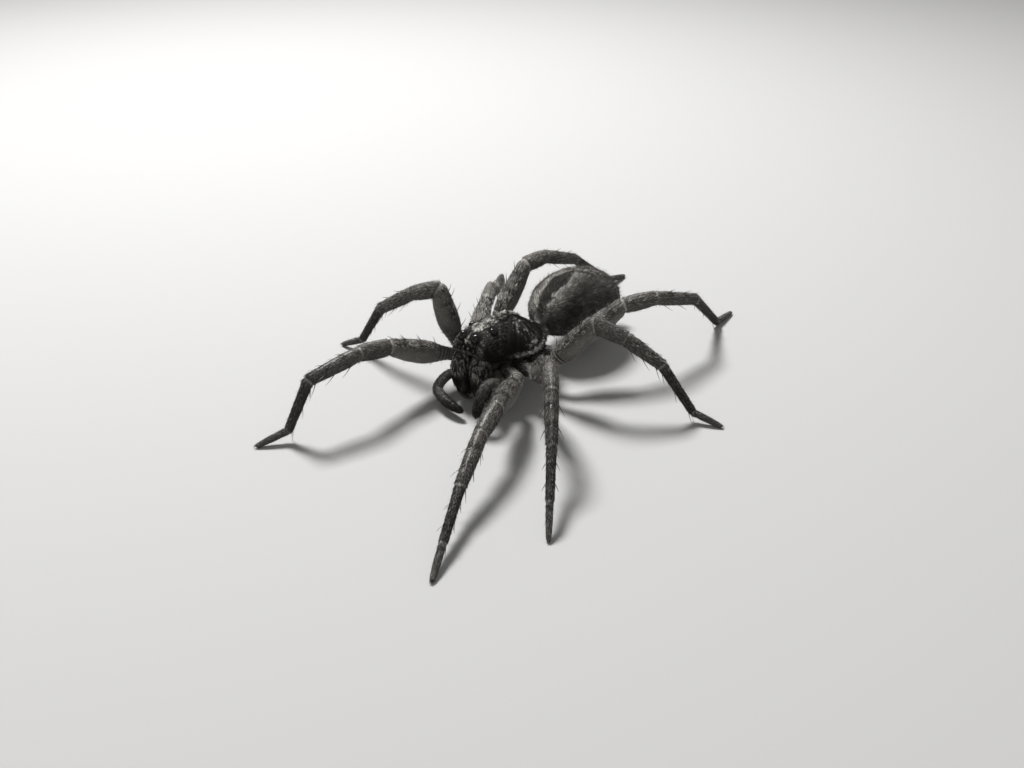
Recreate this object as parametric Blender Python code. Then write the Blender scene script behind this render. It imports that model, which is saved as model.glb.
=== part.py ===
"""Wolf spider, female, life size: a still model standing alert on its eight feet.

The spider faces -Y, its left side is +X and the floor is z = 0.  Every sub-part is one closed
object.  Neighbours stand a small gap apart, so that none of them overlap.  The origin is the
centre of the underside of the whole animal's bounding box.
"""

import math

import bmesh
import bpy
from mathutils import Matrix, Vector

MM = 0.001

# Mesh clean-up: points nearer than this are one, edges sharper than this stay sharp.
MERGE_DISTANCE = 0.002 * MM
SHARP_ANGLE = math.radians(50.0)
CUT_TOLERANCE = 0.0001 * MM
SMALLEST_LENGTH = 1.0e-6

# Clearances between neighbouring solids.
JOINT_GAP = 0.3 * MM
EYE_SEAT_GAP = 0.04 * MM
PAIR_GAP = 0.2 * MM

# How the trunk is held: the middle of the trunk, level with the leg bases, above the floor.
TRUNK_HEIGHT = 3.2 * MM
TRUNK_ROLL = math.radians(4.0)

# Carapace: the shield over head and chest, from the face (-Y) to the waist (+Y).
# Each station is y, half width, rim height, crown height and how square its arch is.
CARAPACE_STATIONS = (
    (-4.58, 1.62, 1.82, 2.60, 2.8),
    (-4.46, 1.86, 1.74, 3.02, 2.8),
    (-4.18, 1.98, 1.58, 3.44, 2.7),
    (-3.70, 2.04, 1.38, 3.68, 2.6),
    (-2.90, 2.14, 1.14, 3.82, 2.5),
    (-1.80, 2.46, 0.94, 3.84, 2.2),
    (-0.60, 2.98, 0.84, 3.92, 1.7),
    (0.60, 3.22, 0.80, 3.92, 1.45),
    (1.60, 3.06, 0.80, 3.34, 1.4),
    (2.60, 2.58, 0.82, 2.58, 1.45),
    (3.50, 1.98, 0.88, 1.90, 1.6),
    (4.10, 1.60, 0.94, 1.62, 2.0),
    (4.40, 1.10, 0.98, 1.26, 2.0),
)
CARAPACE_ARCH_STEPS = 16

# Eyes: name, place (x, y, z) of the left one of each pair, and radius.
EYE_PAIRS = (
    ("anterior_median", (0.28, -4.60, 2.46), 0.18),
    ("anterior_lateral", (0.80, -4.52, 2.38), 0.16),
    ("posterior_median", (0.69, -4.02, 3.32), 0.42),
    ("posterior_lateral", (1.14, -2.46, 3.46), 0.34),
)
EYE_SUBDIVISIONS = 2

# Underside of the chest: height and spread of each layer of the breastplate, then the mouth.
STERNUM_HALF = Vector((1.5, 2.0)) * MM
STERNUM_LAYERS = ((-0.85, 0.72), (-0.595, 1.0), (0.45, 1.0))
STERNUM_SIDES = 16
MOUTH_RINGS = 9
MOUTH_SIDES = 10
MOUTH_END_LIMIT = 0.96
MOUTH_SPAN_LIMIT = 0.98
MOUTH_LEAST_ROUNDING = 0.10
MOUTH_HALF_SPAN = 1.35 * MM
MOUTH_CENTRE = Vector((0.0, -2.56, -0.60)) * MM
MOUTH_LOBE = Vector((0.42, 0.66)) * MM
MOUTH_SLACK = Vector((0.30, 0.42)) * MM

# Chelicerae, the two hanging jaws: z, centre x and y, half width and half depth at each level.
CHELICERA_LEVELS = (
    (1.24, 0.98, -4.12, 0.56, 0.48),
    (0.98, 1.05, -4.12, 0.84, 0.84),
    (0.50, 1.10, -4.16, 0.98, 1.04),
    (-0.40, 1.12, -4.18, 1.00, 1.02),
    (-1.35, 1.09, -4.16, 0.90, 0.88),
    (-1.98, 1.02, -4.10, 0.70, 0.68),
    (-2.20, 0.98, -4.06, 0.42, 0.40),
)
CHELICERA_SIDES = 14
FANG_RADII = (0.24, 0.22, 0.19, 0.14, 0.07)
FANG_BEND = Vector((0.62, 0.0, 0.40)) * MM
FANG_CENTRE = Vector((0.80, -4.10, -2.32)) * MM
FANG_SWEEP = (math.radians(-32.0), math.radians(-150.0))
FANG_SIDES = 8

# Abdomen, measured from the waist end: fraction of the length, half width, half height, rise.
ABDOMEN_LENGTH = 10.8 * MM
ABDOMEN_FRONT = 4.80 * MM
ABDOMEN_MIDDLE_HEIGHT = 1.15 * MM
ABDOMEN_SECTIONS = (
    (0.010, 0.60, 0.60, 0.00),
    (0.05, 1.55, 1.45, 0.16),
    (0.13, 2.50, 2.20, 0.30),
    (0.26, 3.25, 2.78, 0.34),
    (0.42, 3.70, 3.08, 0.26),
    (0.58, 3.75, 3.12, 0.12),
    (0.72, 3.42, 2.90, -0.06),
    (0.85, 2.65, 2.34, -0.28),
    (0.94, 1.65, 1.55, -0.50),
    (0.988, 0.66, 0.66, -0.70),
)
ABDOMEN_SIDES = 20
PEDICEL_RADIUS = 0.42 * MM
PEDICEL_START = Vector((0.0, 2.75, 0.30)) * MM
PEDICEL_END = Vector((0.0, ABDOMEN_FRONT - JOINT_GAP, 0.48 * MM))
PEDICEL_FLATTENING = 0.8

# Spinnerets: a low mound with four short cones under the tail end.
SPINNERET_MOUNT = Vector((0.0, 15.98, 0.10)) * MM
SPINNERET_MOUND = Vector((0.62, 0.30, 0.55)) * MM
SPINNERET_MOUND_SEGMENTS = (12, 6)
SPINNERET_RADIUS = 0.24 * MM
SPINNERET_TAPER = 0.55
SPINNERET_SIDES = 8
SPINNERET_SPLAY = Vector((12.0, 10.0))
SPINNERET_LENGTH = 0.85 * MM
SPINNERET_OFFSET = Vector((0.29, 0.0, 0.24)) * MM

# Legs: lengths of femur, patella, tibia, metatarsus and tarsus, first leg to fourth.
LEG_LENGTHS = (
    (6.4, 3.2, 4.8, 4.8, 2.8),
    (6.0, 3.0, 4.3, 4.6, 2.7),
    (5.6, 2.8, 3.8, 4.9, 2.6),
    (7.0, 3.2, 5.5, 7.4, 3.3),
)
COXA_STARTS = ((1.62, -2.12, -0.12), (1.92, -0.74, -0.16), (1.92, 0.68, -0.16), (1.62, 2.05, -0.12))
HIPS = ((3.9, -2.7, 0.0), (4.5, -1.1, 0.0), (4.5, 0.9, 0.0), (4.0, 2.8, 0.1))

# Leg pose in degrees: heading from straight ahead out to the side, then the rise of femur,
# patella, tibia and tarsus, how far the foot swings from the heading, and how far the knee turns
# all that follows it.  The rise of the metatarsus is whatever sets the foot on the floor.
LEG_POSES = {
    "left": (
        (25.8, 9.9, -6.0, -19.9, -19.9, 7.7, -5.6),
        (51.8, 35.2, -2.4, -40.6, -42.8, -4.7, -9.5),
        (118.0, 50.0, -21.0, -32.0, -17.0, -11.0, 0.0),
        (156.0, 28.0, 1.0, -17.0, -6.0, 28.0, 0.0),
    ),
    "right": (
        (16.0, 22.9, 13.0, -9.0, -19.0, 27.5, -15.0),
        (36.2, 75.0, -21.2, -33.5, -25.6, 0.0, 40.8),
        (149.0, 6.0, 7.0, -28.0, -18.0, -6.0, 0.0),
        (176.0, 42.0, -6.0, -22.0, -12.0, 4.0, 0.0),
    ),
}

# Leg thickness: fraction of the piece's length and half height, out to the tips of its hair.
COXA_RADII = ((0.0, 0.60), (0.30, 0.68), (0.62, 0.70), (0.74, 0.56), (1.0, 0.62))
FEMUR_RADII = ((0.0, 0.60), (0.12, 0.66), (0.26, 0.86), (0.44, 1.07), (0.74, 0.98), (1.0, 0.72))
PATELLA_RADII = ((0.0, 0.68), (0.30, 0.80), (0.72, 0.77), (1.0, 0.65))
TIBIA_RADII = ((0.0, 0.61), (0.25, 0.68), (0.70, 0.61), (1.0, 0.53))
METATARSUS_RADII = ((0.0, 0.47), (0.45, 0.42), (0.92, 0.37))
TARSUS_RADII = ((0.12, 0.32), (0.55, 0.31), (1.0, 0.27))
LEG_SCALE = (1.04, 1.0, 1.0, 1.03)
LEG_SIDES = 10
DOME_REACH = 0.62
DOME_SPREAD = 0.60
LEG_FLATTENING = 0.88
FEMUR_SAG = 0.12 * MM
TARSUS_TIP_HEIGHT = 0.17 * MM
TIBIA_SHARE_OF_SWING = 0.35

# Palps: the knots of each one's line from the mouth to its tip, and the radius at each knot.
PALP_LINES = {
    "left": (
        (1.95, -3.18, -0.78), (2.66, -3.80, -0.30), (2.98, -4.75, 0.18), (3.02, -5.60, 0.26),
        (3.00, -6.30, -0.40), (2.92, -6.68, -1.30), (2.80, -6.80, -2.10),
    ),
    "right": (
        (1.95, -3.18, -0.86), (2.62, -3.86, -0.95), (2.78, -5.00, -1.20), (2.50, -5.94, -1.65),
        (1.40, -6.38, -2.00), (0.30, -6.54, -2.22), (-0.80, -6.54, -2.42),
    ),
}
PALP_RADII = (0.27, 0.40, 0.46, 0.47, 0.47, 0.46, 0.30)
PALP_SIDES = 10

COLOURS = {
    "carapace": (0.11, 0.085, 0.065, 1.0),
    "abdomen": (0.15, 0.12, 0.09, 1.0),
    "leg": (0.20, 0.165, 0.125, 1.0),
    "underside": (0.13, 0.10, 0.075, 1.0),
    "chelicera": (0.05, 0.035, 0.03, 1.0),
    "fang": (0.02, 0.012, 0.01, 1.0),
    "eye": (0.008, 0.008, 0.01, 1.0),
}
GLOSSY = ("fang", "eye")


def clear_scene():
    """Remove every object that is already in the scene."""
    for old in list(bpy.data.objects):
        bpy.data.objects.remove(old, do_unlink=True)


def make_materials():
    """One Principled material for each colour name."""
    finished = {}
    for name, colour in COLOURS.items():
        material = bpy.data.materials.new(name)
        material.use_nodes = True
        shader = material.node_tree.nodes["Principled BSDF"]
        shader.inputs["Base Color"].default_value = colour
        shader.inputs["Roughness"].default_value = 0.15 if name in GLOSSY else 0.7
        shader.inputs["Metallic"].default_value = 0.0
        material.diffuse_color = colour
        finished[name] = material
    return finished


def add_empty(name, parent=None):
    """An empty that carries other objects."""
    empty = bpy.data.objects.new(name, None)
    bpy.context.scene.collection.objects.link(empty)
    empty.parent = parent
    return empty


def add_object(name, mesh_builder, material, parent):
    """Turn a bmesh into a named, smooth-shaded object under its parent."""
    bmesh.ops.remove_doubles(mesh_builder, verts=mesh_builder.verts, dist=MERGE_DISTANCE)
    bmesh.ops.recalc_face_normals(mesh_builder, faces=mesh_builder.faces)
    mesh = bpy.data.meshes.new(name)
    mesh_builder.to_mesh(mesh)
    mesh_builder.free()
    mesh.materials.append(material)
    mesh.shade_smooth()
    mesh.set_sharp_from_angle(angle=SHARP_ANGLE)
    piece = bpy.data.objects.new(name, mesh)
    bpy.context.scene.collection.objects.link(piece)
    piece.parent = parent
    return piece


def ellipse_ring(builder, centre, across, upward, half_width, half_height, sides):
    """Vertices of an ellipse around a centre, in the plane of two unit vectors."""
    ring = []
    for step in range(sides):
        angle = math.tau * step / sides
        offset = across * (half_width * math.cos(angle)) + upward * (half_height * math.sin(angle))
        ring.append(builder.verts.new(centre + offset))
    return ring


def join_rings(builder, rings):
    """Close the wall between each ring and the next, and both ends."""
    for first, second in zip(rings, rings[1:]):
        count = len(first)
        for index in range(count):
            after = (index + 1) % count
            builder.faces.new((first[index], first[after], second[after], second[index]))
    builder.faces.new(rings[0])
    builder.faces.new(rings[-1])


def side_vectors(direction):
    """Two unit vectors square to a direction, the second as near to upright as it can be."""
    across = direction.cross(Vector((0.0, 0.0, 1.0)))
    if across.length < SMALLEST_LENGTH:
        across = Vector((1.0, 0.0, 0.0))
    across.normalize()
    return across, across.cross(direction).normalized()


def tube_along(builder, points, radii, sides, flattening=1.0):
    """A tube through points, each ring square to the line there, with domed ends.

    The radii are half heights, and flattening is the width over the height.
    """
    rings = []
    last = len(points) - 1
    for index, (point, radius) in enumerate(zip(points, radii)):
        before = points[max(index - 1, 0)]
        after = points[min(index + 1, last)]
        direction = (after - before).normalized()
        across, upward = side_vectors(direction)
        sections = [(point, 1.0)]
        if index == 0:
            sections.insert(0, (point - direction * (radius * DOME_REACH), DOME_SPREAD))
        if index == last:
            sections.append((point + direction * (radius * DOME_REACH), DOME_SPREAD))
        for centre, spread in sections:
            height = radius * spread
            rings.append(
                ellipse_ring(builder, centre, across, upward, height * flattening, height, sides)
            )
    join_rings(builder, rings)


def cut_off(builder, point, outward):
    """Cut a closed mesh flat at a plane and drop the side that outward points to."""
    geometry = builder.verts[:] + builder.edges[:] + builder.faces[:]
    bmesh.ops.bisect_plane(
        builder, geom=geometry, dist=CUT_TOLERANCE, plane_co=point, plane_no=outward, clear_outer=True
    )
    rim = [edge for edge in builder.edges if edge.is_boundary]
    bmesh.ops.holes_fill(builder, edges=rim, sides=len(rim))


def mitre(builder, joint, inward, outward, keep_before):
    """Cut a limb piece at the plane that halves the bend of its joint, half a gap short."""
    normal = (inward + outward).normalized()
    if keep_before:
        cut_off(builder, joint - normal * (JOINT_GAP / 2.0), normal)
    else:
        cut_off(builder, joint + normal * (JOINT_GAP / 2.0), -normal)


def build_carapace(material, parent):
    """The domed shield: an arch at each station, closed flat below along its rim."""
    builder = bmesh.new()
    rings = []
    for y, half_width, rim, crown, squareness in CARAPACE_STATIONS:
        ring = []
        power = 2.0 / squareness
        for step in range(CARAPACE_ARCH_STEPS + 1):
            angle = math.pi * step / CARAPACE_ARCH_STEPS
            reach = math.copysign(abs(math.cos(angle)) ** power, math.cos(angle))
            height = rim + (crown - rim) * math.sin(angle) ** power
            ring.append(builder.verts.new(Vector((half_width * reach, y, height)) * MM))
        rings.append(ring)
    join_rings(builder, rings)
    return add_object("carapace", builder, material, parent)


def build_eyes(material, carapace, parent):
    """Eight round eyes, each seated in its own socket in the carapace."""
    for name, place, radius in EYE_PAIRS:
        for side, mirror in (("left", 1.0), ("right", -1.0)):
            centre = Vector((place[0] * mirror, place[1], place[2])) * MM
            ball = bmesh.new()
            bmesh.ops.create_icosphere(ball, subdivisions=EYE_SUBDIVISIONS, radius=radius * MM)
            eye = add_object(f"eye_{name}_{side}", ball, material, parent)
            eye.location = centre
            hollow = bmesh.new()
            bmesh.ops.create_icosphere(
                hollow, subdivisions=EYE_SUBDIVISIONS, radius=radius * MM + EYE_SEAT_GAP
            )
            socket = add_object(f"socket_{name}_{side}", hollow, material, parent)
            socket.location = centre
            cut_with(carapace, socket, "DIFFERENCE")


def cut_with(piece, tool, operation):
    """Combine a piece with a hidden tool object by an exact Boolean."""
    tool.hide_render = True
    tool.display_type = "WIRE"
    boolean = piece.modifiers.new(tool.name, "BOOLEAN")
    boolean.operation = operation
    boolean.solver = "EXACT"
    boolean.object = tool


def build_sternum(material, parent):
    """The oval breastplate and the flesh above it, between the leg bases."""
    builder = bmesh.new()
    rings = []
    across = Vector((1.0, 0.0, 0.0))
    forward = Vector((0.0, 1.0, 0.0))
    for height, spread in STERNUM_LAYERS:
        centre = Vector((0.0, 0.0, height * MM))
        half = STERNUM_HALF * spread
        rings.append(
            ellipse_ring(builder, centre, across, forward, half.x, half.y, STERNUM_SIDES)
        )
    join_rings(builder, rings)
    return add_object("sternum", builder, material, parent)


def build_mouthparts(material, parent):
    """Labium and maxillae: two lobes with the narrower lip between them."""
    builder = bmesh.new()
    rings = []
    forward = Vector((0.0, 1.0, 0.0))
    upward = Vector((0.0, 0.0, 1.0))
    for step in range(MOUTH_RINGS):
        fraction = 2.0 * step / (MOUTH_RINGS - 1) - 1.0
        lobe = math.sin(min(abs(fraction), MOUTH_END_LIMIT) * math.pi) ** 2
        rounding = math.sqrt(max(1.0 - fraction ** 6, MOUTH_LEAST_ROUNDING))
        depth = (MOUTH_SLACK.x + (MOUTH_LOBE.x - MOUTH_SLACK.x) * lobe) * rounding
        height = (MOUTH_SLACK.y + (MOUTH_LOBE.y - MOUTH_SLACK.y) * lobe) * rounding
        reach = MOUTH_HALF_SPAN * fraction * MOUTH_SPAN_LIMIT
        centre = MOUTH_CENTRE + Vector((reach, 0.0, 0.0))
        rings.append(ellipse_ring(builder, centre, forward, upward, depth, height, MOUTH_SIDES))
    join_rings(builder, rings)
    return add_object("mouthparts", builder, material, parent)


def build_chelicera(side, mirror, material, parent):
    """One jaw: a stout column, bulging forward under the face and narrowing to its tip."""
    builder = bmesh.new()
    rings = []
    across = Vector((1.0, 0.0, 0.0))
    forward = Vector((0.0, 1.0, 0.0))
    for z, x, y, half_width, half_depth in CHELICERA_LEVELS:
        centre = Vector((x * mirror, y, z)) * MM
        width = half_width * MM - PAIR_GAP / 4.0
        rings.append(
            ellipse_ring(builder, centre, across, forward, width, half_depth * MM, CHELICERA_SIDES)
        )
    join_rings(builder, rings)
    return add_object(f"chelicera_{side}", builder, material, parent)


def build_fang(side, mirror, material, parent):
    """One fang: a tapered hook folded inwards under the tip of its jaw."""
    builder = bmesh.new()
    points = []
    steps = len(FANG_RADII) - 1
    for step in range(steps + 1):
        angle = FANG_SWEEP[0] + (FANG_SWEEP[1] - FANG_SWEEP[0]) * step / steps
        reach_x = FANG_CENTRE.x + FANG_BEND.x * math.cos(angle)
        reach_z = FANG_CENTRE.z + FANG_BEND.z * math.sin(angle)
        points.append(Vector((reach_x * mirror, FANG_CENTRE.y, reach_z)))
    tube_along(builder, points, [radius * MM for radius in FANG_RADII], FANG_SIDES)
    return add_object(f"fang_{side}", builder, material, parent)


def build_abdomen(material, parent):
    """The egg-shaped abdomen with the short narrow waist that holds it."""
    builder = bmesh.new()
    across = Vector((1.0, 0.0, 0.0))
    upward = Vector((0.0, 0.0, 1.0))
    rings = []
    height = PEDICEL_RADIUS * PEDICEL_FLATTENING
    for centre in (PEDICEL_START, (PEDICEL_START + PEDICEL_END) / 2.0, PEDICEL_END):
        rings.append(
            ellipse_ring(builder, centre, across, upward, PEDICEL_RADIUS, height, ABDOMEN_SIDES)
        )
    for fraction, half_width, half_height, rise in ABDOMEN_SECTIONS:
        centre = Vector(
            (0.0, ABDOMEN_FRONT + ABDOMEN_LENGTH * fraction, ABDOMEN_MIDDLE_HEIGHT + rise * MM)
        )
        rings.append(
            ellipse_ring(
                builder, centre, across, upward, half_width * MM, half_height * MM, ABDOMEN_SIDES
            )
        )
    join_rings(builder, rings)
    return add_object("abdomen", builder, material, parent)


def build_spinnerets(material, parent):
    """Four short cones that grow from one low mound under the tail end."""
    mound = bmesh.new()
    around, along = SPINNERET_MOUND_SEGMENTS
    bmesh.ops.create_uvsphere(mound, u_segments=around, v_segments=along, radius=1.0)
    bmesh.ops.scale(mound, vec=SPINNERET_MOUND, verts=mound.verts)
    cluster = add_object("spinnerets", mound, material, parent)
    cluster.location = SPINNERET_MOUNT
    for number, (turn_x, turn_z) in enumerate(((1, 1), (-1, 1), (1, -1), (-1, -1))):
        cone = bmesh.new()
        bmesh.ops.create_cone(
            cone, cap_ends=True, segments=SPINNERET_SIDES, radius1=SPINNERET_RADIUS,
            radius2=SPINNERET_RADIUS * SPINNERET_TAPER, depth=SPINNERET_LENGTH,
        )
        bmesh.ops.rotate(cone, verts=cone.verts, matrix=Matrix.Rotation(-math.pi / 2.0, 3, "X"))
        tool = add_object(f"spinneret_{number}", cone, material, parent)
        offset = Vector((SPINNERET_OFFSET.x * turn_x, 0.0, SPINNERET_OFFSET.z * turn_z))
        tool.location = SPINNERET_MOUNT + offset + Vector((0.0, SPINNERET_LENGTH * 0.5, 0.0))
        splay = SPINNERET_SPLAY
        tool.rotation_euler = (
            math.radians(-splay.x * turn_z), 0.0, math.radians(-splay.y * turn_x)
        )
        cut_with(cluster, tool, "UNION")
    return cluster


def build_palp(side, mirror, material, parent):
    """One palp: a small leg-like feeler beside the jaws, ending above the floor."""
    builder = bmesh.new()
    points = [Vector((x * mirror, y, z)) * MM for x, y, z in PALP_LINES[side]]
    tube_along(builder, points, [radius * MM for radius in PALP_RADII], PALP_SIDES)
    return add_object(f"palp_{side}", builder, material, parent)


def direction_of(heading, rise, mirror):
    """Unit vector at a heading from straight ahead and a rise, both in degrees."""
    turn = math.radians(heading)
    lift = math.radians(rise)
    return Vector(
        (math.sin(turn) * math.cos(lift) * mirror, -math.cos(turn) * math.cos(lift), math.sin(lift))
    )


def leg_joints(hip, lengths, pose, mirror):
    """Joints of a leg from hip to tip, the metatarsus set so that the foot is on the floor."""
    heading, femur, patella, tibia, tarsus, swing, knee = pose
    joints = [hip]
    foot_heading = heading + knee + swing
    turns = (heading, heading + knee, heading + knee + swing * TIBIA_SHARE_OF_SWING)
    for turn, rise, length in zip(turns, (femur, patella, tibia), lengths):
        joints.append(joints[-1] + direction_of(turn, rise, mirror) * (length * MM))
    tarsus_step = direction_of(foot_heading, tarsus, mirror) * (lengths[4] * MM)
    drop = TARSUS_TIP_HEIGHT - joints[-1].z - tarsus_step.z
    metatarsus = math.degrees(math.asin(drop / (lengths[3] * MM)))
    joints.append(joints[-1] + direction_of(foot_heading, metatarsus, mirror) * (lengths[3] * MM))
    joints.append(joints[-1] + tarsus_step)
    return joints


def limb_piece(name, start, end, profile, scale, sag, before, after, material, parent):
    """One leg piece, its middle sagging a little, mitred to its neighbours at both ends."""
    builder = bmesh.new()
    direction = (end - start).normalized()
    _across, upward = side_vectors(direction)
    points = []
    for fraction, _radius in profile:
        points.append(start.lerp(end, fraction) - upward * (sag * math.sin(math.pi * fraction)))
    radii = [radius * scale * MM for _fraction, radius in profile]
    tube_along(builder, points, radii, LEG_SIDES, LEG_FLATTENING)
    mitre(builder, start, before, direction, keep_before=False)
    mitre(builder, end, direction, after, keep_before=True)
    return add_object(name, builder, material, parent)


def build_foot(name, joints, scale, before, material, parent):
    """Metatarsus and tarsus in one piece, cut flat where the sole meets the floor."""
    builder = bmesh.new()
    points = [joints[3].lerp(joints[4], fraction) for fraction, _radius in METATARSUS_RADII]
    points += [joints[4].lerp(joints[5], fraction) for fraction, _radius in TARSUS_RADII]
    radii = [radius * scale * MM for _fraction, radius in METATARSUS_RADII + TARSUS_RADII]
    tube_along(builder, points, radii, LEG_SIDES, LEG_FLATTENING)
    direction = (joints[4] - joints[3]).normalized()
    mitre(builder, joints[3], before, direction, keep_before=False)
    cut_off(builder, Vector((0.0, 0.0, 0.0)), Vector((0.0, 0.0, -1.0)))
    return add_object(name, builder, material, parent)


def build_leg(side, mirror, number, trunk_matrix, material, parent):
    """One leg in five pieces: coxa, femur, patella, tibia and foot."""
    start_x, start_y, start_z = COXA_STARTS[number]
    hip_x, hip_y, hip_z = HIPS[number]
    start = trunk_matrix @ (Vector((start_x * mirror, start_y, start_z)) * MM)
    hip = trunk_matrix @ (Vector((hip_x * mirror, hip_y, hip_z)) * MM)
    scale = LEG_SCALE[number]
    joints = leg_joints(hip, LEG_LENGTHS[number], LEG_POSES[side][number], mirror)
    chain = [start] + joints
    steps = [(second - first).normalized() for first, second in zip(chain, chain[1:])]
    base = f"{side}_leg_{number + 1}"
    profiles = (COXA_RADII, FEMUR_RADII, PATELLA_RADII, TIBIA_RADII)
    for index, (part, profile) in enumerate(zip(("coxa", "femur", "patella", "tibia"), profiles)):
        before = steps[index - 1] if index else steps[0]
        sag = FEMUR_SAG if part == "femur" else 0.0
        limb_piece(
            f"{base}_{part}", chain[index], chain[index + 1], profile, scale, sag,
            before, steps[index + 1], material, parent,
        )
    build_foot(f"{base}_foot", joints, scale, steps[3], material, parent)


def centre_on_floor(root):
    """Move the whole animal so that the origin is the centre of its box's underside."""
    bpy.context.view_layer.update()
    corners = []
    for piece in bpy.data.objects:
        if piece.type == "MESH" and not piece.hide_render:
            corners += [piece.matrix_world @ vertex.co for vertex in piece.data.vertices]
    for axis in (0, 1):
        values = [corner[axis] for corner in corners]
        root.location[axis] -= (min(values) + max(values)) / 2.0
    bpy.context.view_layer.update()


def main():
    """Build the whole spider."""
    clear_scene()
    materials = make_materials()
    root = add_empty("spider")
    trunk = add_empty("trunk", root)
    trunk.location = (0.0, 0.0, TRUNK_HEIGHT)
    trunk.rotation_euler = (0.0, -TRUNK_ROLL, 0.0)
    trunk_matrix = Matrix.LocRotScale(trunk.location, trunk.rotation_euler, None)
    carapace = build_carapace(materials["carapace"], trunk)
    build_eyes(materials["eye"], carapace, trunk)
    build_sternum(materials["underside"], trunk)
    build_mouthparts(materials["underside"], trunk)
    build_abdomen(materials["abdomen"], trunk)
    build_spinnerets(materials["underside"], trunk)
    for side, mirror in (("left", 1.0), ("right", -1.0)):
        build_chelicera(side, mirror, materials["chelicera"], trunk)
        build_fang(side, mirror, materials["fang"], trunk)
        build_palp(side, mirror, materials["leg"], trunk)
        for number in range(4):
            build_leg(side, mirror, number, trunk_matrix, materials["leg"], root)
    centre_on_floor(root)


main()
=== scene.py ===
"""Looks of the wolf spider: shells and skins, a coat of solid hairs, eyes, fangs and spines.

Sizes are in millimetres in the spider's own frame, as in the part's source: the head points to -Y,
its left side is +X and z = 0 is the floor.  The trunk has a frame of its own, raised and rolled a
little.  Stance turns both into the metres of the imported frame.
"""

import itertools
import logging
import math
from dataclasses import dataclass, field
from enum import Enum
from functools import cached_property
from typing import Callable, Iterator

import bpy
import numpy as np
from mathutils import Matrix, Vector


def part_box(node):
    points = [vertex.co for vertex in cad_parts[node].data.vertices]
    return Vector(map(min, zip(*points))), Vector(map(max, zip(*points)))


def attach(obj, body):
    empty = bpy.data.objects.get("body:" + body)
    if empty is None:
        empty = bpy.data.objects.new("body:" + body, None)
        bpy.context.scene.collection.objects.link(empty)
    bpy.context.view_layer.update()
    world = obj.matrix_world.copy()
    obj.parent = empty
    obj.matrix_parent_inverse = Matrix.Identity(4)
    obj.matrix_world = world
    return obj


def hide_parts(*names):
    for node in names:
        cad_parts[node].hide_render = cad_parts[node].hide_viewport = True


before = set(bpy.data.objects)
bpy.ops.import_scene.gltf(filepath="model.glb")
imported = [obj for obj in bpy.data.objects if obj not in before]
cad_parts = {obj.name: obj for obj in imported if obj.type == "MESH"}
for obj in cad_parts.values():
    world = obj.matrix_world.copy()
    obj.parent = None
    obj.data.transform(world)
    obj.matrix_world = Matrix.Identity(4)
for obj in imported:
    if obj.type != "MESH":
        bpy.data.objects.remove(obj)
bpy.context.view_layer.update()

MM = 0.001
BODY = "root"
SHADE = "shade"
GLOSS = "gloss"
BAKE_MAP = "OFBake"
MAP_MARGIN = 0.01
MAP_SPAN = 0.98
POLE_OFFSET = 0.005
TUFT_PATCH = 0.003
END_BULGE = 0.5

Array = np.ndarray
BACKWARDS = np.array((0.0, 1.0, 0.0))
UPWARDS = np.array((0.0, 0.0, 1.0))
DOWNWARDS = -UPWARDS
log = logging.getLogger("wolf_spider")


class Side(Enum):
    """The two sides of the animal, with the sign of their X."""

    LEFT = 1.0
    RIGHT = -1.0

    @property
    def word(self) -> str:
        """The side's name as the nodes spell it."""
        return self.name.lower()

    @property
    def flip(self) -> Array:
        """What turns a place on the left into its like on this side."""
        return np.array((self.value, 1.0, 1.0))


# ---------------------------------------------------------------- helpers on numbers


def unit(vectors: Array) -> Array:
    """Each vector at length one."""
    return vectors / np.maximum(np.linalg.norm(vectors, axis=-1, keepdims=True), 1e-12)


def bell(value: Array, width: float) -> Array:
    """One at zero, falling off smoothly over a width."""
    return np.exp(-(value / width) ** 2)


def ramp(value: Array, low: float, high: float) -> Array:
    """Zero below low, one above high, smooth between."""
    part = np.clip((value - low) / (high - low), 0.0, 1.0)
    return part * part * (3.0 - 2.0 * part)


def blend(first: Array, second: Array, share: Array) -> Array:
    """Mix two values by a share of the second."""
    return first * (1.0 - share) + second * share


def mottle(place: Array, size: float, seed: int) -> Array:
    """Smooth random value from 0 to 1 at each place.

    Args:
        place: points, (..., 3).
        size: width of a patch.
        seed: picks the pattern.

    Returns:
        One value for each point.
    """
    cell = place / size + seed * 17.31
    base = np.floor(cell).astype(np.int64)
    part = cell - base
    part = part * part * (3.0 - 2.0 * part)
    total = np.zeros(place.shape[:-1])
    for corner in itertools.product((0, 1), repeat=3):
        spot = base + np.array(corner)
        number = spot[..., 0] * 73856093 ^ spot[..., 1] * 19349663 ^ spot[..., 2] * 83492791
        number = (number ^ (number >> 13)) * 1274126177 & 0x7FFFFFFF
        number = (number ^ (number >> 16)) & 0xFFFF
        weight = np.ones(place.shape[:-1])
        for axis in range(3):
            share = part[..., axis]
            weight = weight * (share if corner[axis] else 1.0 - share)
        total += weight * number / 65535.0
    return total


def smoothed(values: Array, steps: int, width: float) -> Array:
    """Values averaged with their neighbours by a bell-shaped weight over some steps."""
    weight = bell(np.linspace(-1.0, 1.0, steps), width)
    weight /= weight.sum()
    return np.convolve(np.pad(values, steps // 2, mode="edge"), weight, mode="valid")


def scattered(way: Array, count: int, spread: float, rng: np.random.Generator) -> Array:
    """A number of directions, spread by chance about one."""
    return np.tile(way, (count, 1)) + rng.normal(0.0, spread, (count, 3))


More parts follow.
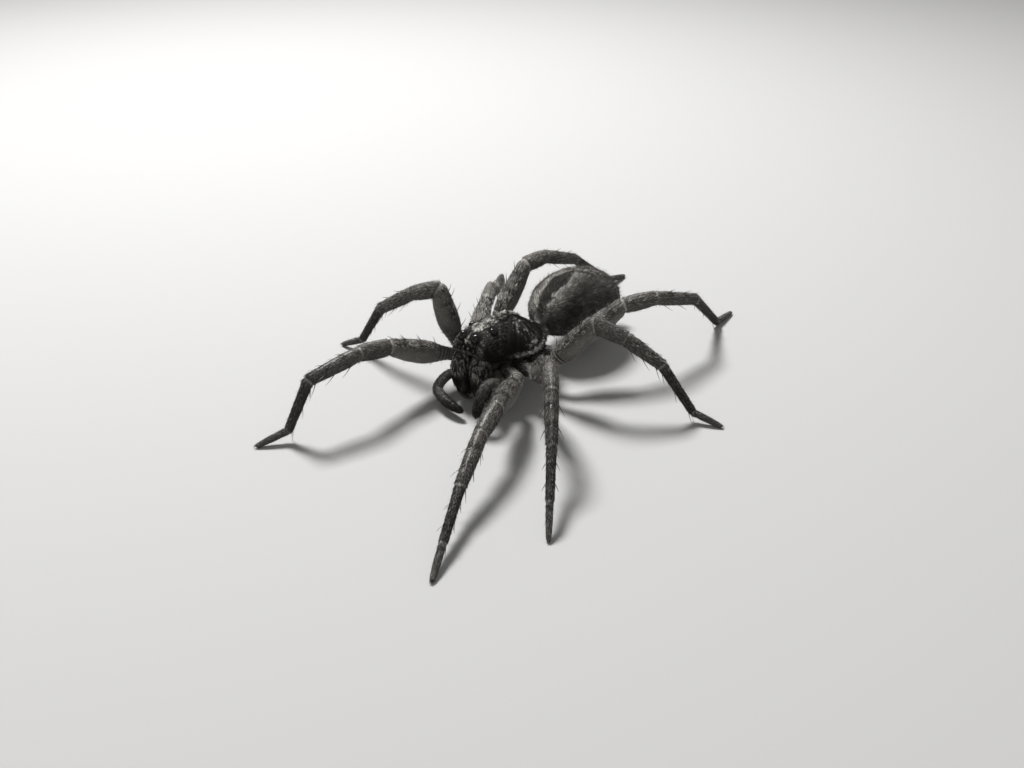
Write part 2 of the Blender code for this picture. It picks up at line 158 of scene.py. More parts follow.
def curve_through(points: Array, count: int) -> tuple[Array, Array]:
    """A smooth line through points.

    Args:
        points: the line's points, (n, 3).
        count: how many points the result has.

    Returns:
        The line's points and, for each, how far along the given points it lies.
    """
    padded = np.vstack([2.0 * points[0] - points[1], points, 2.0 * points[-1] - points[-2]])
    stations = np.linspace(0.0, len(points) - 1.0, count)
    index = np.minimum(stations.astype(int), len(points) - 2)
    part = (stations - index)[:, None]
    p0, p1, p2, p3 = (padded[index + step] for step in range(4))
    line = 0.5 * (
        2.0 * p1 + (p2 - p0) * part + (2.0 * p0 - 5.0 * p1 + 4.0 * p2 - p3) * part**2
        + (3.0 * p1 - p0 - 3.0 * p2 + p3) * part**3
    )
    return line, stations


# ---------------------------------------------------------------- the stance


@dataclass(frozen=True)
class Stance:
    """How the trunk is held, and where the spider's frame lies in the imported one."""

    height: float = 3.2
    roll: float = math.radians(4.0)
    known_eye: str = "eye_posterior_median_left"
    known_place: tuple[float, float, float] = (0.69, -4.02, 3.32)

    @property
    def turn(self) -> Array:
        """Rotation of the trunk."""
        return np.array(Matrix.Rotation(-self.roll, 3, "Y"))

    def trunk(self, points: Array) -> Array:
        """Trunk points in the spider's frame, in millimetres."""
        return points @ self.turn.T + np.array((0.0, 0.0, self.height))

    def origin(self) -> Array:
        """Place of the spider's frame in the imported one, from an eye that is in both."""
        low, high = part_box(self.known_eye)
        middle = np.array((low + high) / 2.0) / MM
        return middle - self.trunk(np.array(self.known_place))

    def metres(self, points: Array, on_trunk: bool) -> Array:
        """Points of the trunk's or the spider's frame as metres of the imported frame."""
        placed = self.trunk(points) if on_trunk else points
        return (placed + self.origin()) * MM


STANCE = Stance()


# ---------------------------------------------------------------- skins and hairs as meshes


@dataclass
class Roots:
    """Spots on a skin, with the directions there and how far round and along they lie."""

    place: Array
    normal: Array
    along: Array
    around: Array
    station: Array
    turn: Array
    spot: Array

    def pick(self, keep: Array) -> "Roots":
        """Only some of the spots."""
        return Roots(*(values[keep] for values in vars(self).values()))


Look = Callable[[Roots], Array]


def even(value: float) -> Look:
    """A look with the same value all over."""
    return lambda roots: np.full(roots.place.shape[:-1], value)


@dataclass
class Tube:
    """A closed skin of rings: rows from its first pole to its last, columns round.

    Attributes:
        rings: points, (rows, columns, 3).
        poles: the closing point at each end.
        stations: a value for each row that says which part of the limb it is on.
        corner: low corner of its unwrap in the bake map.
        span: size of its unwrap in the bake map.
    """

    rings: Array
    poles: tuple[Array, Array]
    stations: Array
    corner: tuple[float, float] = (MAP_MARGIN, MAP_MARGIN)
    span: tuple[float, float] = (MAP_SPAN, MAP_SPAN)
    roots: Roots = field(init=False)

    def __post_init__(self) -> None:
        """Work out the directions at every point."""
        around = np.roll(self.rings, -1, axis=1) - np.roll(self.rings, 1, axis=1)
        along = np.gradient(self.rings, axis=0)
        normal = unit(np.cross(around, along))
        middle = self.rings.mean(axis=1, keepdims=True)
        if ((self.rings - middle) * normal).sum() < 0.0:
            self.rings = self.rings[:, ::-1]
            self.__post_init__()
            return
        rows, columns = self.rings.shape[:2]
        steps = np.linalg.norm(np.diff(self.rings, axis=0), axis=-1).mean(axis=1)
        reach = np.concatenate([[0.0], np.cumsum(steps)])
        reach = reach / reach[-1]
        turn = np.arange(columns) / columns
        spot = np.stack(np.broadcast_arrays(reach[:, None], turn[None, :]), axis=-1)
        self.roots = Roots(
            self.rings, normal, unit(along), unit(around),
            np.broadcast_to(self.stations[:, None], (rows, columns)),
            np.broadcast_to(turn[None, :], (rows, columns)), self.on_map(spot),
        )

    def on_map(self, spot: Array) -> Array:
        """Spots of this tube's unwrap in the bake map."""
        return np.array(self.corner) + spot * np.array(self.span)

    def push(self, amount: Array) -> "Tube":
        """The same tube with each point moved outwards by an amount."""
        moved = self.rings + self.roots.normal * amount[..., None]
        return Tube(moved, self.poles, self.stations, self.corner, self.span)

    def scatter(self, count: int, density: Look, rng: np.random.Generator) -> Roots:
        """Spots for hairs, spread by area and density.

        Args:
            count: how many.
            density: says how dense they are at given spots.
            rng: source of chance.

        Returns:
            The spots.
        """
        base = self.roots
        after = np.roll(self.rings, -1, axis=1)
        side = np.linalg.norm(after - self.rings, axis=-1)
        length = np.linalg.norm(np.diff(self.rings, axis=0), axis=-1)
        area = (side[:-1] + side[1:]) * (length + np.roll(length, -1, axis=1)) / 4.0
        weight = area * np.clip(density(self.cells()), 0.0, None)
        chosen = rng.choice(weight.size, size=count, p=(weight / weight.sum()).ravel())
        row, column = np.divmod(chosen, weight.shape[1])
        part_row = rng.random(count)
        part_column = rng.random(count)
        beside = (column + 1) % weight.shape[1]

        def mixed(values: Array) -> Array:
            """Values between the four corners of each chosen cell."""
            share = part_column[:, None]
            low = blend(values[row, column], values[row, beside], share)
            high = blend(values[row + 1, column], values[row + 1, beside], share)
            return blend(low, high, part_row[:, None])

        columns = weight.shape[1]
        turn = (column + part_column) / columns
        station = blend(self.stations[row], self.stations[row + 1], part_row)
        reach = blend(base.spot[row, 0, 0], base.spot[row + 1, 0, 0], part_row)
        spot = np.stack([reach, self.corner[1] + turn * self.span[1]], axis=-1)
        return Roots(
            mixed(self.rings), unit(mixed(base.normal)), unit(mixed(base.along)),
            unit(mixed(base.around)), station, turn, spot,
        )

    def cells(self) -> Roots:
        """The middle of every cell, for densities."""
        base = self.roots

        def middle(values: Array) -> Array:
            """Mean of the four corners."""
            pair = values[:-1] + values[1:]
            return (pair + np.roll(pair, -1, axis=1)) / 4.0

        columns = self.rings.shape[1]
        turn = base.turn[:-1] + 0.5 / columns
        return Roots(
            middle(base.place), unit(middle(base.normal)), unit(middle(base.along)),
            unit(middle(base.around)), (base.station[:-1] + base.station[1:]) / 2.0,
            turn, base.spot[:-1],
        )


@dataclass
class Web:
    """Points and triangles that become one mesh, with a value and a map spot for each point."""

    points: Array
    triangles: Array
    shade: Array
    gloss: Array
    spots: Array

    @staticmethod
    def joined(webs: list["Web"]) -> "Web":
        """Several webs as one."""
        starts = np.cumsum([0] + [len(web.points) for web in webs[:-1]])
        return Web(
            np.vstack([web.points for web in webs]),
            np.vstack([web.triangles + start for web, start in zip(webs, starts)]),
            np.concatenate([web.shade for web in webs]),
            np.concatenate([web.gloss for web in webs]),
            np.vstack([web.spots for web in webs]),
        )

    def piece(
        self, name: str, material: bpy.types.Material, slot: str, nodes: tuple[str, ...] = (),
        on_trunk: bool = True,
    ) -> None:
        """Make the mesh object, at the origin with its place in its mesh, and dress it.

        Args:
            name: the piece's name.
            material: its finish.
            slot: not used.
            nodes: the nodes it stands for.
            on_trunk: whether the points are in the trunk's frame.
        """
        mesh = bpy.data.meshes.new(name)
        placed = STANCE.metres(self.points, on_trunk)
        corners = self.triangles.ravel().astype(np.int32)
        mesh.vertices.add(len(placed))
        mesh.vertices.foreach_set("co", placed.astype(np.float32).ravel())
        mesh.loops.add(len(corners))
        mesh.loops.foreach_set("vertex_index", corners)
        mesh.polygons.add(len(self.triangles))
        mesh.polygons.foreach_set("loop_start", np.arange(0, len(corners), 3, dtype=np.int32))
        mesh.update(calc_edges=True)
        mesh.polygons.foreach_set("use_smooth", np.ones(len(self.triangles), dtype=bool))
        for title, values in ((SHADE, self.shade), (GLOSS, self.gloss)):
            layer = mesh.attributes.new(title, "FLOAT", "POINT")
            layer.data.foreach_set("value", np.clip(values, 0.0, 1.0).astype(np.float32))
        chart = mesh.uv_layers.new(name=BAKE_MAP)
        spots = self.spots[corners].reshape(-1, 3, 2)
        width = spots[:, :, 1].max(axis=1) - spots[:, :, 1].min(axis=1)
        wraps = (width > 0.5)[:, None] & (spots[:, :, 1] < 0.5)
        spots[:, :, 1] = np.where(wraps, spots[:, :, 1] + MAP_SPAN, spots[:, :, 1])
        chart.uv.foreach_set("vector", spots.astype(np.float32).ravel())
        mesh.materials.append(material)
        piece = bpy.data.objects.new(name, mesh)
        bpy.context.scene.collection.objects.link(piece)
        dress(piece, nodes)


def skin_of(tube: Tube, shade: Look, gloss: Look) -> Web:
    """A tube's skin as triangles, closed at both poles.

    Args:
        tube: the skin's shape.
        shade: how pale it is at given spots.
        gloss: how bare and shiny it is at given spots.

    Returns:
        The web.
    """
    rows, columns = tube.rings.shape[:2]
    index = np.arange(rows * columns).reshape(rows, columns)
    after = np.roll(index, -1, axis=1)
    lower, upper = index[:-1].ravel(), index[1:].ravel()
    lower_after, upper_after = after[:-1].ravel(), after[1:].ravel()
    first_pole, last_pole = rows * columns, rows * columns + 1
    triangles = [
        np.stack([lower, lower_after, upper_after], axis=-1),
        np.stack([lower, upper_after, upper], axis=-1),
        np.stack([np.full(columns, first_pole), after[0], index[0]], axis=-1),
        np.stack([np.full(columns, last_pole), index[-1], after[-1]], axis=-1),
    ]
    points = np.vstack([tube.rings.reshape(-1, 3), tube.poles[0], tube.poles[1]])
    spots = tube.roots.spot.reshape(-1, 2)
    middle = tube.corner[1] + tube.span[1] / 2.0
    first, last = tube.corner[0] - POLE_OFFSET, tube.corner[0] + tube.span[0] + POLE_OFFSET
    ends = [[first, middle], [last, middle]]

    def values(look: Look) -> Array:
        """The look at each ring point and at both poles."""
        found = look(tube.roots)
        return np.concatenate([found.ravel(), [found[0].mean(), found[-1].mean()]])

    spots = np.vstack([spots, ends])
    return Web(points, np.vstack(triangles), values(shade), values(gloss), spots)


@dataclass(frozen=True)
class Hair:
    """How one kind of hair or spine is cut: its sides, and how thick it is along its length."""

    sides: int = 3
    levels: tuple[float, ...] = (0.0, 0.5)
    taper: float = 0.35
    flatness: float = 0.55
    sunk: float = 0.02
    root_shade: float = 0.82
    tip_shade: float = 1.12

    def grow(
        self, roots: Roots, lie: Array, length: Array, width: Array, lift: Array,
        droop: float, shade: Array, gloss: float = 0.0,
    ) -> Web:
        """Grow one solid hair from each root.

        Args:
            roots: where they stand.
            lie: which way each one points, along the skin.
            length: of each.
            width: of each at its root.
            lift: angle of each from the skin, in radians.
            droop: how much of its rise it loses again towards its tip.
            shade: how pale each one is.
            gloss: how shiny they are.

        Returns:
            The web of all of them.
        """
        lie = unit(lie - roots.normal * (lie * roots.normal).sum(axis=-1, keepdims=True))
        side = unit(np.cross(lie, roots.normal))
        rise = np.sin(lift)[:, None] * roots.normal
        run = np.cos(lift)[:, None] * lie
        size = length[:, None]
        rings, shades = [], []
        for level in self.levels:
            middle = roots.place - roots.normal * self.sunk
            middle = middle + size * (run * level + rise * (level - droop * level * level))
            thick = width / 2.0 * (1.0 - (1.0 - self.taper) * level)
            over = unit(np.cross(side, unit(run + rise * (1.0 - 2.0 * droop * level))))
            for step in range(self.sides):
                angle = math.tau * (step + 0.5) / self.sides
                offset = side * math.cos(angle) + over * (math.sin(angle) * self.flatness)
                rings.append(middle + offset * thick[:, None])
                shades.append(shade * (self.root_shade + (1.0 - self.root_shade) * level * 2.0))
        tip = roots.place - roots.normal * self.sunk + size * (run + rise * (1.0 - droop))
        rings.append(tip)
        shades.append(shade * self.tip_shade)
        points = np.stack(rings, axis=1).reshape(-1, 3)
        first = np.arange(len(roots.place))[:, None, None] * len(rings)
        triangles = (first + self.pattern()[None]).reshape(-1, 3)
        spots = (roots.spot[:, None, :] + self.patch_corners()[None]).reshape(-1, 2)
        values = np.stack(shades, axis=1).ravel()
        return Web(points, triangles, values, np.full(len(points), gloss), spots)

    def pattern(self) -> Array:
        """The triangles of one hair."""
        faces = [[0, step, step + 1] for step in range(1, self.sides - 1)]
        last = (len(self.levels) - 1) * self.sides
        for start in range(0, last, self.sides):
            for step in range(self.sides):
                after = (step + 1) % self.sides
                low, low_after = start + step, start + after
                faces.append([low_after, low, low_after + self.sides])
                faces.append([low_after + self.sides, low, low + self.sides])
        tip = last + self.sides
        for step in range(self.sides):
            faces.append([last + (step + 1) % self.sides, last + step, tip])
        return np.array(faces)

    def patch_corners(self) -> Array:
        """Where one hair's points lie in its own small patch of the bake map."""
        corners = [
            (level - 0.5, step / (self.sides - 1.0) - 0.5)
            for level, step in itertools.product(self.levels, range(self.sides))
        ]
        return np.array([*corners, (0.5, 0.0)]) * TUFT_PATCH


BENT_HAIR = Hair()
STRAIGHT_HAIR = Hair(levels=(0.0,))
SPINE = Hair(sides=6, levels=(0.0, 0.2, 0.45, 0.7, 0.9), taper=0.22, flatness=1.0, sunk=0.05,
             root_shade=1.0, tip_shade=1.0)


def fur(
    roots: Roots, lie: Array, length: Array, width: Array, lift: Array, droop: float,
    shade: Array, bent: float = 0.25,
) -> Web:
    """A coat of hairs, some bent in two and the rest straight.

    Args:
        roots: where they stand, in no order.
        lie: which way each one points, along the skin.
        length: of each.
        width: of each at its root.
        lift: angle of each from the skin, in radians.
        droop: how much of its rise each one loses again towards its tip.
        shade: how pale each one is.
        bent: share of the bent ones.

    Returns:
        The web of all of them.
    """
    cut = int(len(roots.place) * bent)
    return Web.joined([
        kind.grow(roots.pick(some), lie[some], length[some], width[some], lift[some], droop,
                  shade[some])
        for kind, some in ((BENT_HAIR, slice(0, cut)), (STRAIGHT_HAIR, slice(cut, None)))
    ])


@dataclass(frozen=True)
class PlainHair:
    """Hairs of one plain kind, with the limits that chance draws their sizes from.

    Attributes:
        count: how many.
        length: of each.
        width: of each at its root, one for all or two limits.
        lift: angle of each from the skin, in degrees.
        shade: how pale each one is.
        droop: how much of its rise each one loses again towards its tip.
        spread: how far chance turns them.
    """

    count: int
    length: tuple[float, float]
    width: tuple[float, ...]
    lift: tuple[float, float]
    shade: tuple[float, float]
    droop: float = 0.4
    spread: float = 0.3

    def grow(self, tube: Tube, way: Array, density: Look, rng: np.random.Generator) -> Web:
        """Grow them on a skin.

        Args:
            tube: the skin.
            way: which way they point.
            density: says how dense they are at given spots.
            rng: source of chance.

        Returns:
            The web of all of them.
        """
        count = self.count
        roots = tube.scatter(count, density, rng)
        lie = scattered(way, count, self.spread, rng) if self.spread else np.tile(way, (count, 1))
        length = rng.uniform(*self.length, count)
        single = len(self.width) == 1
        width = np.full(count, *self.width) if single else rng.uniform(*self.width, count)
        lift = np.radians(rng.uniform(*self.lift, count))
        return fur(roots, lie, length, width, lift, self.droop, rng.uniform(*self.shade, count))


# ---------------------------------------------------------------- finishes


def feed(node: bpy.types.Node, values: dict[str | int, object]) -> None:
    """Give a node's inputs their values.

    Args:
        node: the node.
        values: a fixed value or another node's output for each input.
    """
    for title, value in values.items():
        if isinstance(value, bpy.types.NodeSocket):
            node.id_data.links.new(value, node.inputs[title])
        else:
            node.inputs[title].default_value = value


@dataclass(frozen=True)
class ShadeFinish:
    """A finish whose colour runs from dark to pale with the piece's shade.

    Attributes:
        name: of the material.
        stops: shade and colour of each stop of the run.
        roughness: where the piece is dull, and where it is bare and shiny.
        grain: size of the finest grain, in millimetres.
        blotch: size of the larger blotches, in millimetres.
        bump: how deep the grain is.
        variation: how much chance varies the shade.
        sheen: soft light that grazes the hairs.
        coat: clear layer over it.
        specular: strength of its plain reflection.
    """

    name: str
    stops: tuple[tuple[float, tuple[float, float, float]], ...]
    roughness: tuple[float, float] = (0.62, 0.62)
    grain: float = 0.05
    blotch: float = 0.35
    bump: float = 0.0
    variation: float = 0.18
    sheen: float = 0.0
    coat: float = 0.0
    specular: float = 0.5

    @cached_property
    def material(self) -> bpy.types.Material:
        """The node material, built once."""
        made = bpy.data.materials.new(self.name)
        made.use_nodes = True
        tree = made.node_tree
        shader = tree.nodes["Principled BSDF"]
        feed(shader, {
            "Specular IOR Level": self.specular, "Sheen Weight": self.sheen,
            "Sheen Roughness": 0.45, "Coat Weight": self.coat, "Coat Roughness": 0.16,
        })
        place = tree.nodes.new("ShaderNodeTexCoord").outputs["Object"]
        blotch = self.noise(tree, place, self.blotch, 4.0)
        grain = self.noise(tree, place, self.grain, 3.0)
        middle = 1.0 - self.variation * (0.5 + self.variation * 0.8)
        chance = self.sum(tree, blotch, self.variation * 1.6, grain)
        shade = self.sum(tree, chance, self.variation, middle)
        scaled = tree.nodes.new("ShaderNodeMath")
        scaled.operation = "MULTIPLY"
        scaled.use_clamp = True
        feed(scaled, {0: self.value(tree, SHADE), 1: shade})
        run = tree.nodes.new("ShaderNodeValToRGB")
        ends = run.color_ramp.elements
        for end, (position, colour) in zip(ends, (self.stops[0], self.stops[-1])):
            end.position, end.color = position, (*colour, 1.0)
        for position, colour in self.stops[1:-1]:
            ends.new(position).color = (*colour, 1.0)
        feed(run, {"Fac": scaled.outputs[0]})
        dull, bare = self.roughness
        feed(shader, {"Base Color": run.outputs["Color"], "Roughness": dull})
        if dull != bare:
            rough = tree.nodes.new("ShaderNodeMapRange")
            feed(rough, {"To Min": dull, "To Max": bare, "Value": self.value(tree, GLOSS)})
            feed(shader, {"Roughness": rough.outputs["Result"]})
        if self.bump:
            bump = tree.nodes.new("ShaderNodeBump")
            feed(bump, {"Strength": self.bump, "Distance": self.grain * MM, "Height": grain})
            feed(shader, {"Normal": bump.outputs["Normal"]})
        return made

    def value(self, tree: bpy.types.NodeTree, title: str) -> bpy.types.NodeSocket:
        """The piece's own value of a title at each point."""
        made = tree.nodes.new("ShaderNodeAttribute")
        made.attribute_name = title
        return made.outputs["Fac"]

    def sum(
        self, tree: bpy.types.NodeTree, first: bpy.types.NodeSocket, factor: float,
        second: bpy.types.NodeSocket | float,
    ) -> bpy.types.NodeSocket:
        """A first value times a factor, plus a second."""
        made = tree.nodes.new("ShaderNodeMath")
        made.operation = "MULTIPLY_ADD"
        feed(made, {0: first, 1: factor, 2: second})
        return made.outputs[0]

    def noise(
        self, tree: bpy.types.NodeTree, place: bpy.types.NodeSocket, size: float, detail: float,
    ) -> bpy.types.NodeSocket:
        """A noise on the piece's own coordinates, in patches of a size in millimetres."""
        made = tree.nodes.new("ShaderNodeTexNoise")
        feed(made, {"Scale": 1.0 / (size * MM), "Detail": detail, "Vector": place})
        return made.outputs["Fac"]


DARK = (0.0050, 0.0045, 0.0042)
UMBER = (0.030, 0.027, 0.024)
GREY = (0.105, 0.097, 0.088)
ASH = (0.30, 0.285, 0.265)
CREAM = (0.66, 0.64, 0.60)
COAT_STOPS = ((0.0, DARK), (0.25, UMBER), (0.5, GREY), (0.75, ASH), (1.0, CREAM))

PELT = ShadeFinish("pelt", COAT_STOPS, roughness=(0.6, 0.6), grain=0.04, variation=0.22,
                   specular=0.13)
CARAPACE_SHELL = ShadeFinish("carapace_shell", COAT_STOPS, roughness=(0.78, 0.62), grain=0.05,
                             bump=0.5, variation=0.3, specular=0.07)
LEG_SKIN = ShadeFinish("leg_skin", COAT_STOPS, roughness=(0.58, 0.30), grain=0.045, bump=0.35,
                       variation=0.22, specular=0.22)
BODY_SKIN = ShadeFinish("body_skin", COAT_STOPS, roughness=(0.66, 0.5), grain=0.06, bump=0.5,
                        variation=0.3)
JAW_SHELL = ShadeFinish("jaw_shell", COAT_STOPS, roughness=(0.38, 0.2), grain=0.07, bump=0.5,
                        variation=0.25, coat=0.3)
HORN = ShadeFinish("horn", ((0.0, (0.004, 0.0035, 0.003)), (1.0, (0.09, 0.06, 0.04))),
                   roughness=(0.2, 0.2), grain=0.08, bump=0.12, variation=0.2, coat=0.6)
EYE_GLASS = ShadeFinish("eye_glass", ((0.0, (0.003, 0.003, 0.003)), (1.0, (0.012, 0.010, 0.009))),
                        roughness=(0.05, 0.05), grain=0.2, variation=0.1, specular=0.35)


def dress(piece: bpy.types.Object, nodes: tuple[str, ...]) -> None:
    """Make a piece ride on the body and hide the nodes it stands for.

    Args:
        piece: the piece.
        nodes: the nodes it stands for.
    """
    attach(piece, BODY)
    if nodes:
        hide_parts(*nodes)
    log.info("%s: %d triangles", piece.name, sum(len(f.vertices) - 2 for f in piece.data.polygons))


# ---------------------------------------------------------------- carapace


EYE_PLACES = (
    ("anterior_median", (0.28, -4.60, 2.46), 0.18),
    ("anterior_lateral", (0.80, -4.52, 2.38), 0.16),
    ("posterior_median", (0.69, -4.02, 3.32), 0.42),
    ("posterior_lateral", (1.14, -2.46, 3.46), 0.34),
)


@dataclass
class Carapace:
    """The shield over head and chest, with its eyes' rims, its furrows and its coat.

    Each furrow, lip and rim has its depth or height, then its width.
    """

    stations: tuple[tuple[float, float, float, float, float], ...] = (
        (-4.58, 1.62, 1.82, 2.60, 2.8),
        (-4.46, 1.86, 1.74, 3.02, 2.8),
        (-4.18, 1.98, 1.58, 3.44, 2.7),
        (-3.70, 2.04, 1.38, 3.68, 2.6),
        (-2.90, 2.14, 1.14, 3.82, 2.5),
        (-1.80, 2.46, 0.94, 3.84, 2.2),
        (-0.60, 2.98, 0.84, 3.92, 1.7),
        (0.60, 3.22, 0.80, 3.92, 1.45),
        (1.60, 3.06, 0.80, 3.34, 1.4),
        (2.60, 2.58, 0.82, 2.58, 1.45),
        (3.50, 1.98, 0.88, 1.90, 1.6),
        (4.10, 1.60, 0.94, 1.62, 2.0),
        (4.40, 1.10, 0.98, 1.26, 2.0),
    )
    inset: float = 0.05
    head_end: float = -1.9
    rows_head: int = 84
    rows_chest: int = 90
    arch_columns: int = 120
    under_columns: int = 24
    under_hollow: float = 0.10
    face_steps: tuple[tuple[float, float], ...] = (
        (0.35, 0.030), (0.62, 0.020), (0.82, 0.010), (0.94, 0.003),
    )
    fovea: tuple[float, float] = (0.0, 1.35)
    furrow: tuple[float, float] = (0.20, 0.085)
    neck: tuple[float, float] = (0.09, 0.20)
    neck_at: float = 34.0
    groove: tuple[float, float] = (0.055, 0.11)
    lip: tuple[float, float] = (0.035, 0.07)
    lip_height: float = 0.10
    eye_rim: tuple[float, float] = (0.16, 0.16)
    eye_rim_at: float = 1.08
    unevenness: float = 0.03
    grooves_at: tuple[float, ...] = (47.5, 65.5, 92.0, 118.0)
    rays_at: tuple[tuple[float, float], ...] = (
        (31.0, 0.55), (41.0, 0.9), (49.5, 1.0), (57.5, 0.8), (66.0, 0.9), (76.0, 1.0), (89.0, 0.7),
        (105.0, 0.8), (124.0, 0.6),
    )
    coat_count: int = 39000
    bristle_count: int = 260
    seed: int = 11

    def plan(self, place: Array) -> tuple[Array, Array]:
        """Distance from the fovea and angle from straight ahead, seen from above, in degrees."""
        side = place[..., 0] - self.fovea[0]
        back = place[..., 1] - self.fovea[1]
        return np.hypot(side, back), np.degrees(np.arctan2(np.abs(side), -back))

    def rays(self, place: Array, width: float) -> Array:
        """One on the pale lines that radiate from the fovea, zero between."""
        distance, angle = self.plan(place)
        found = np.zeros(place.shape[:-1])
        wander = (mottle(place, 0.7, 3) - 0.5) * 8.0
        for ray, strength in self.rays_at:
            found += strength * bell(np.radians(angle - ray + wander) * distance, width)
        broken = 0.5 + 0.5 * ramp(mottle(place, 0.19, 7), 0.34, 0.6)
        far = 1.0 - ramp(distance, 2.3, 3.3) * (angle < 60.0) * 0.8
        return np.clip(found, 0.0, 1.0) * ramp(distance, 0.55, 1.1) * broken * far

    def above_rim(self, place: Array) -> Array:
        """Height over the shield's lower edge."""
        table = np.array(self.stations)
        return place[..., 2] - np.interp(place[..., 1], table[:, 0], table[:, 2])

    def eye_gaps(self, place: Array) -> Iterator[tuple[float, Array]]:
        """Each eye's radius, with the distance from its middle to every place."""
        for _name, spot, radius in EYE_PLACES:
            for side in Side:
                yield radius, np.linalg.norm(place - spot * side.flip, axis=-1)

    def shape(self) -> Tube:
        """The shield's surface, with furrows and eye rims."""
        table = np.array(self.stations)
        head = np.linspace(table[0, 0], self.head_end, self.rows_head)
        chest = np.linspace(self.head_end, table[-1, 0], self.rows_chest + 1)[1:]
        y = np.concatenate([head, chest])
        half, rim, crown, square = (
            smoothed(np.interp(y, table[:, 0], table[:, column]), 9, 0.6)[:, None]
            for column in range(1, 5)
        )
        angle = np.linspace(0.0, math.pi, self.arch_columns)[None, :]
        power = 2.0 / square
        cosine = np.cos(angle)
        x = half * np.sign(cosine) * np.abs(cosine) ** power
        z = rim + (crown - rim) * np.clip(np.sin(angle), 0.0, 1.0) ** power
        across = np.linspace(-1.0, 1.0, self.under_columns + 2)[1:-1][None, :]
        under_x = half * across
        under_z = rim + self.under_hollow * (1.0 - across**2)
        rings = np.stack(
            [
                np.hstack([x, under_x]),
                np.broadcast_to(y[:, None], (len(y), x.shape[1] + under_x.shape[1])),
                np.hstack([z, under_z]),
            ],
            axis=-1,
        )
        front = rings[0].mean(axis=0)
        caps = []
        for share, step in self.face_steps:
            cap = front + (rings[0] - front) * share
            cap[:, 1] = rings[0][:, 1] - step
            caps.append(cap)
        rings = np.concatenate([np.stack(caps), rings])
        poles = (front - 0.04 * BACKWARDS, rings[-1].mean(axis=0))
        tube = Tube(rings, poles, rings[:, 0, 1])
        return tube.push(self.relief(tube.roots) - self.inset)

    def relief(self, roots: Roots) -> Array:
        """How far the surface stands out: furrows in, eye rims and lip out."""
        place = roots.place
        x, y, _z = np.moveaxis(place, -1, 0)
        height = self.above_rim(place)
        distance, angle = self.plan(place)
        upper = ramp(height, 0.05, 0.25)
        furrow = bell(x, self.furrow[1]) * ramp(y, 0.75, 1.05) * (1.0 - ramp(y, 1.7, 2.05))
        neck = bell(np.radians(angle - self.neck_at) * distance, self.neck[1])
        neck = neck * ramp(distance, 0.5, 1.6)
        grooves = np.zeros(place.shape[:-1])
        for ray in self.grooves_at:
            beside = np.radians(angle - ray) * distance
            grooves += bell(beside, self.groove[1]) * ramp(distance, 0.5, 1.2)
        stand = -self.furrow[0] * furrow - self.neck[0] * neck * upper
        stand = stand - self.groove[0] * grooves * upper
        stand = stand + self.lip[0] * bell(height - self.lip_height, self.lip[1])
        for radius, gap in self.eye_gaps(place):
            rim = bell(gap - radius * self.eye_rim_at, radius * self.eye_rim[1])
            stand = stand + self.eye_rim[0] * radius * rim
        return stand + self.unevenness * (mottle(place, 0.45, 5) - 0.5) * upper

    def eye_nearness(self, place: Array, spread: float) -> Array:
        """One close round the eyes, falling off over a spread."""
        found = np.zeros(place.shape[:-1])
        for radius, gap in self.eye_gaps(place):
            found = np.maximum(found, bell(np.clip(gap - radius, 0.0, None), spread))
        return found

    def network(self, place: Array) -> Array:
        """One on the fine pale net that covers the sides of the head behind the eyes."""
        x, y, _z = np.moveaxis(place, -1, 0)
        net = 1.0 - ramp(np.abs(mottle(place, 0.30, 21) - 0.5), 0.02, 0.11)
        net = np.maximum(net, 1.0 - ramp(np.abs(mottle(place, 0.22, 23) - 0.5), 0.02, 0.09))
        distance, angle = self.plan(place)
        head = (1.0 - ramp(angle, 30.0, 38.0)) * ramp(distance, 1.0, 1.6)
        low = ramp(self.above_rim(place), 0.3, 0.9)
        face = bell(np.abs(x) - 1.35, 0.35) * (1.0 - ramp(y, -4.2, -3.7))
        return net * np.maximum(head * low * ramp(y, -4.3, -3.6), face)

    def median_band(self, place: Array) -> Array:
        """One on the pale band from the eyes back over the top."""
        x, y, z = np.moveaxis(place, -1, 0)
        half = np.interp(y, (-4.4, -3.4, -2.6, -1.6, 0.1, 1.3, 2.4, 4.2),
                         (0.50, 0.75, 0.85, 0.70, 0.42, 0.24, 0.34, 0.42))
        edge = (mottle(place, 0.28, 9) - 0.5) * 0.40
        band = 1.0 - ramp(np.abs(x) + edge, half * 0.7, half * 1.2)
        broken = 0.55 + 0.45 * ramp(mottle(place, 0.17, 10), 0.35, 0.65)
        return band * broken * ramp(z, 1.3, 1.9)

    def speckle(self, place: Array) -> Array:
        """One on the grey flecks beside the median band, over most of the head's top."""
        x, y, z = np.moveaxis(place, -1, 0)
        half = np.interp(y, (-4.4, -3.4, -2.6, -1.9, -1.0, 0.2),
                         (1.75, 1.75, 1.6, 0.98, 0.65, 0.0))
        edge = (mottle(place, 0.35, 15) - 0.5) * 0.5
        wide = 1.0 - ramp(np.abs(x) + edge, half * 0.75, half * 1.1 + 0.02)
        return wide * ramp(mottle(place, 0.17, 12), 0.36, 0.62) * ramp(z, 2.0, 2.5)

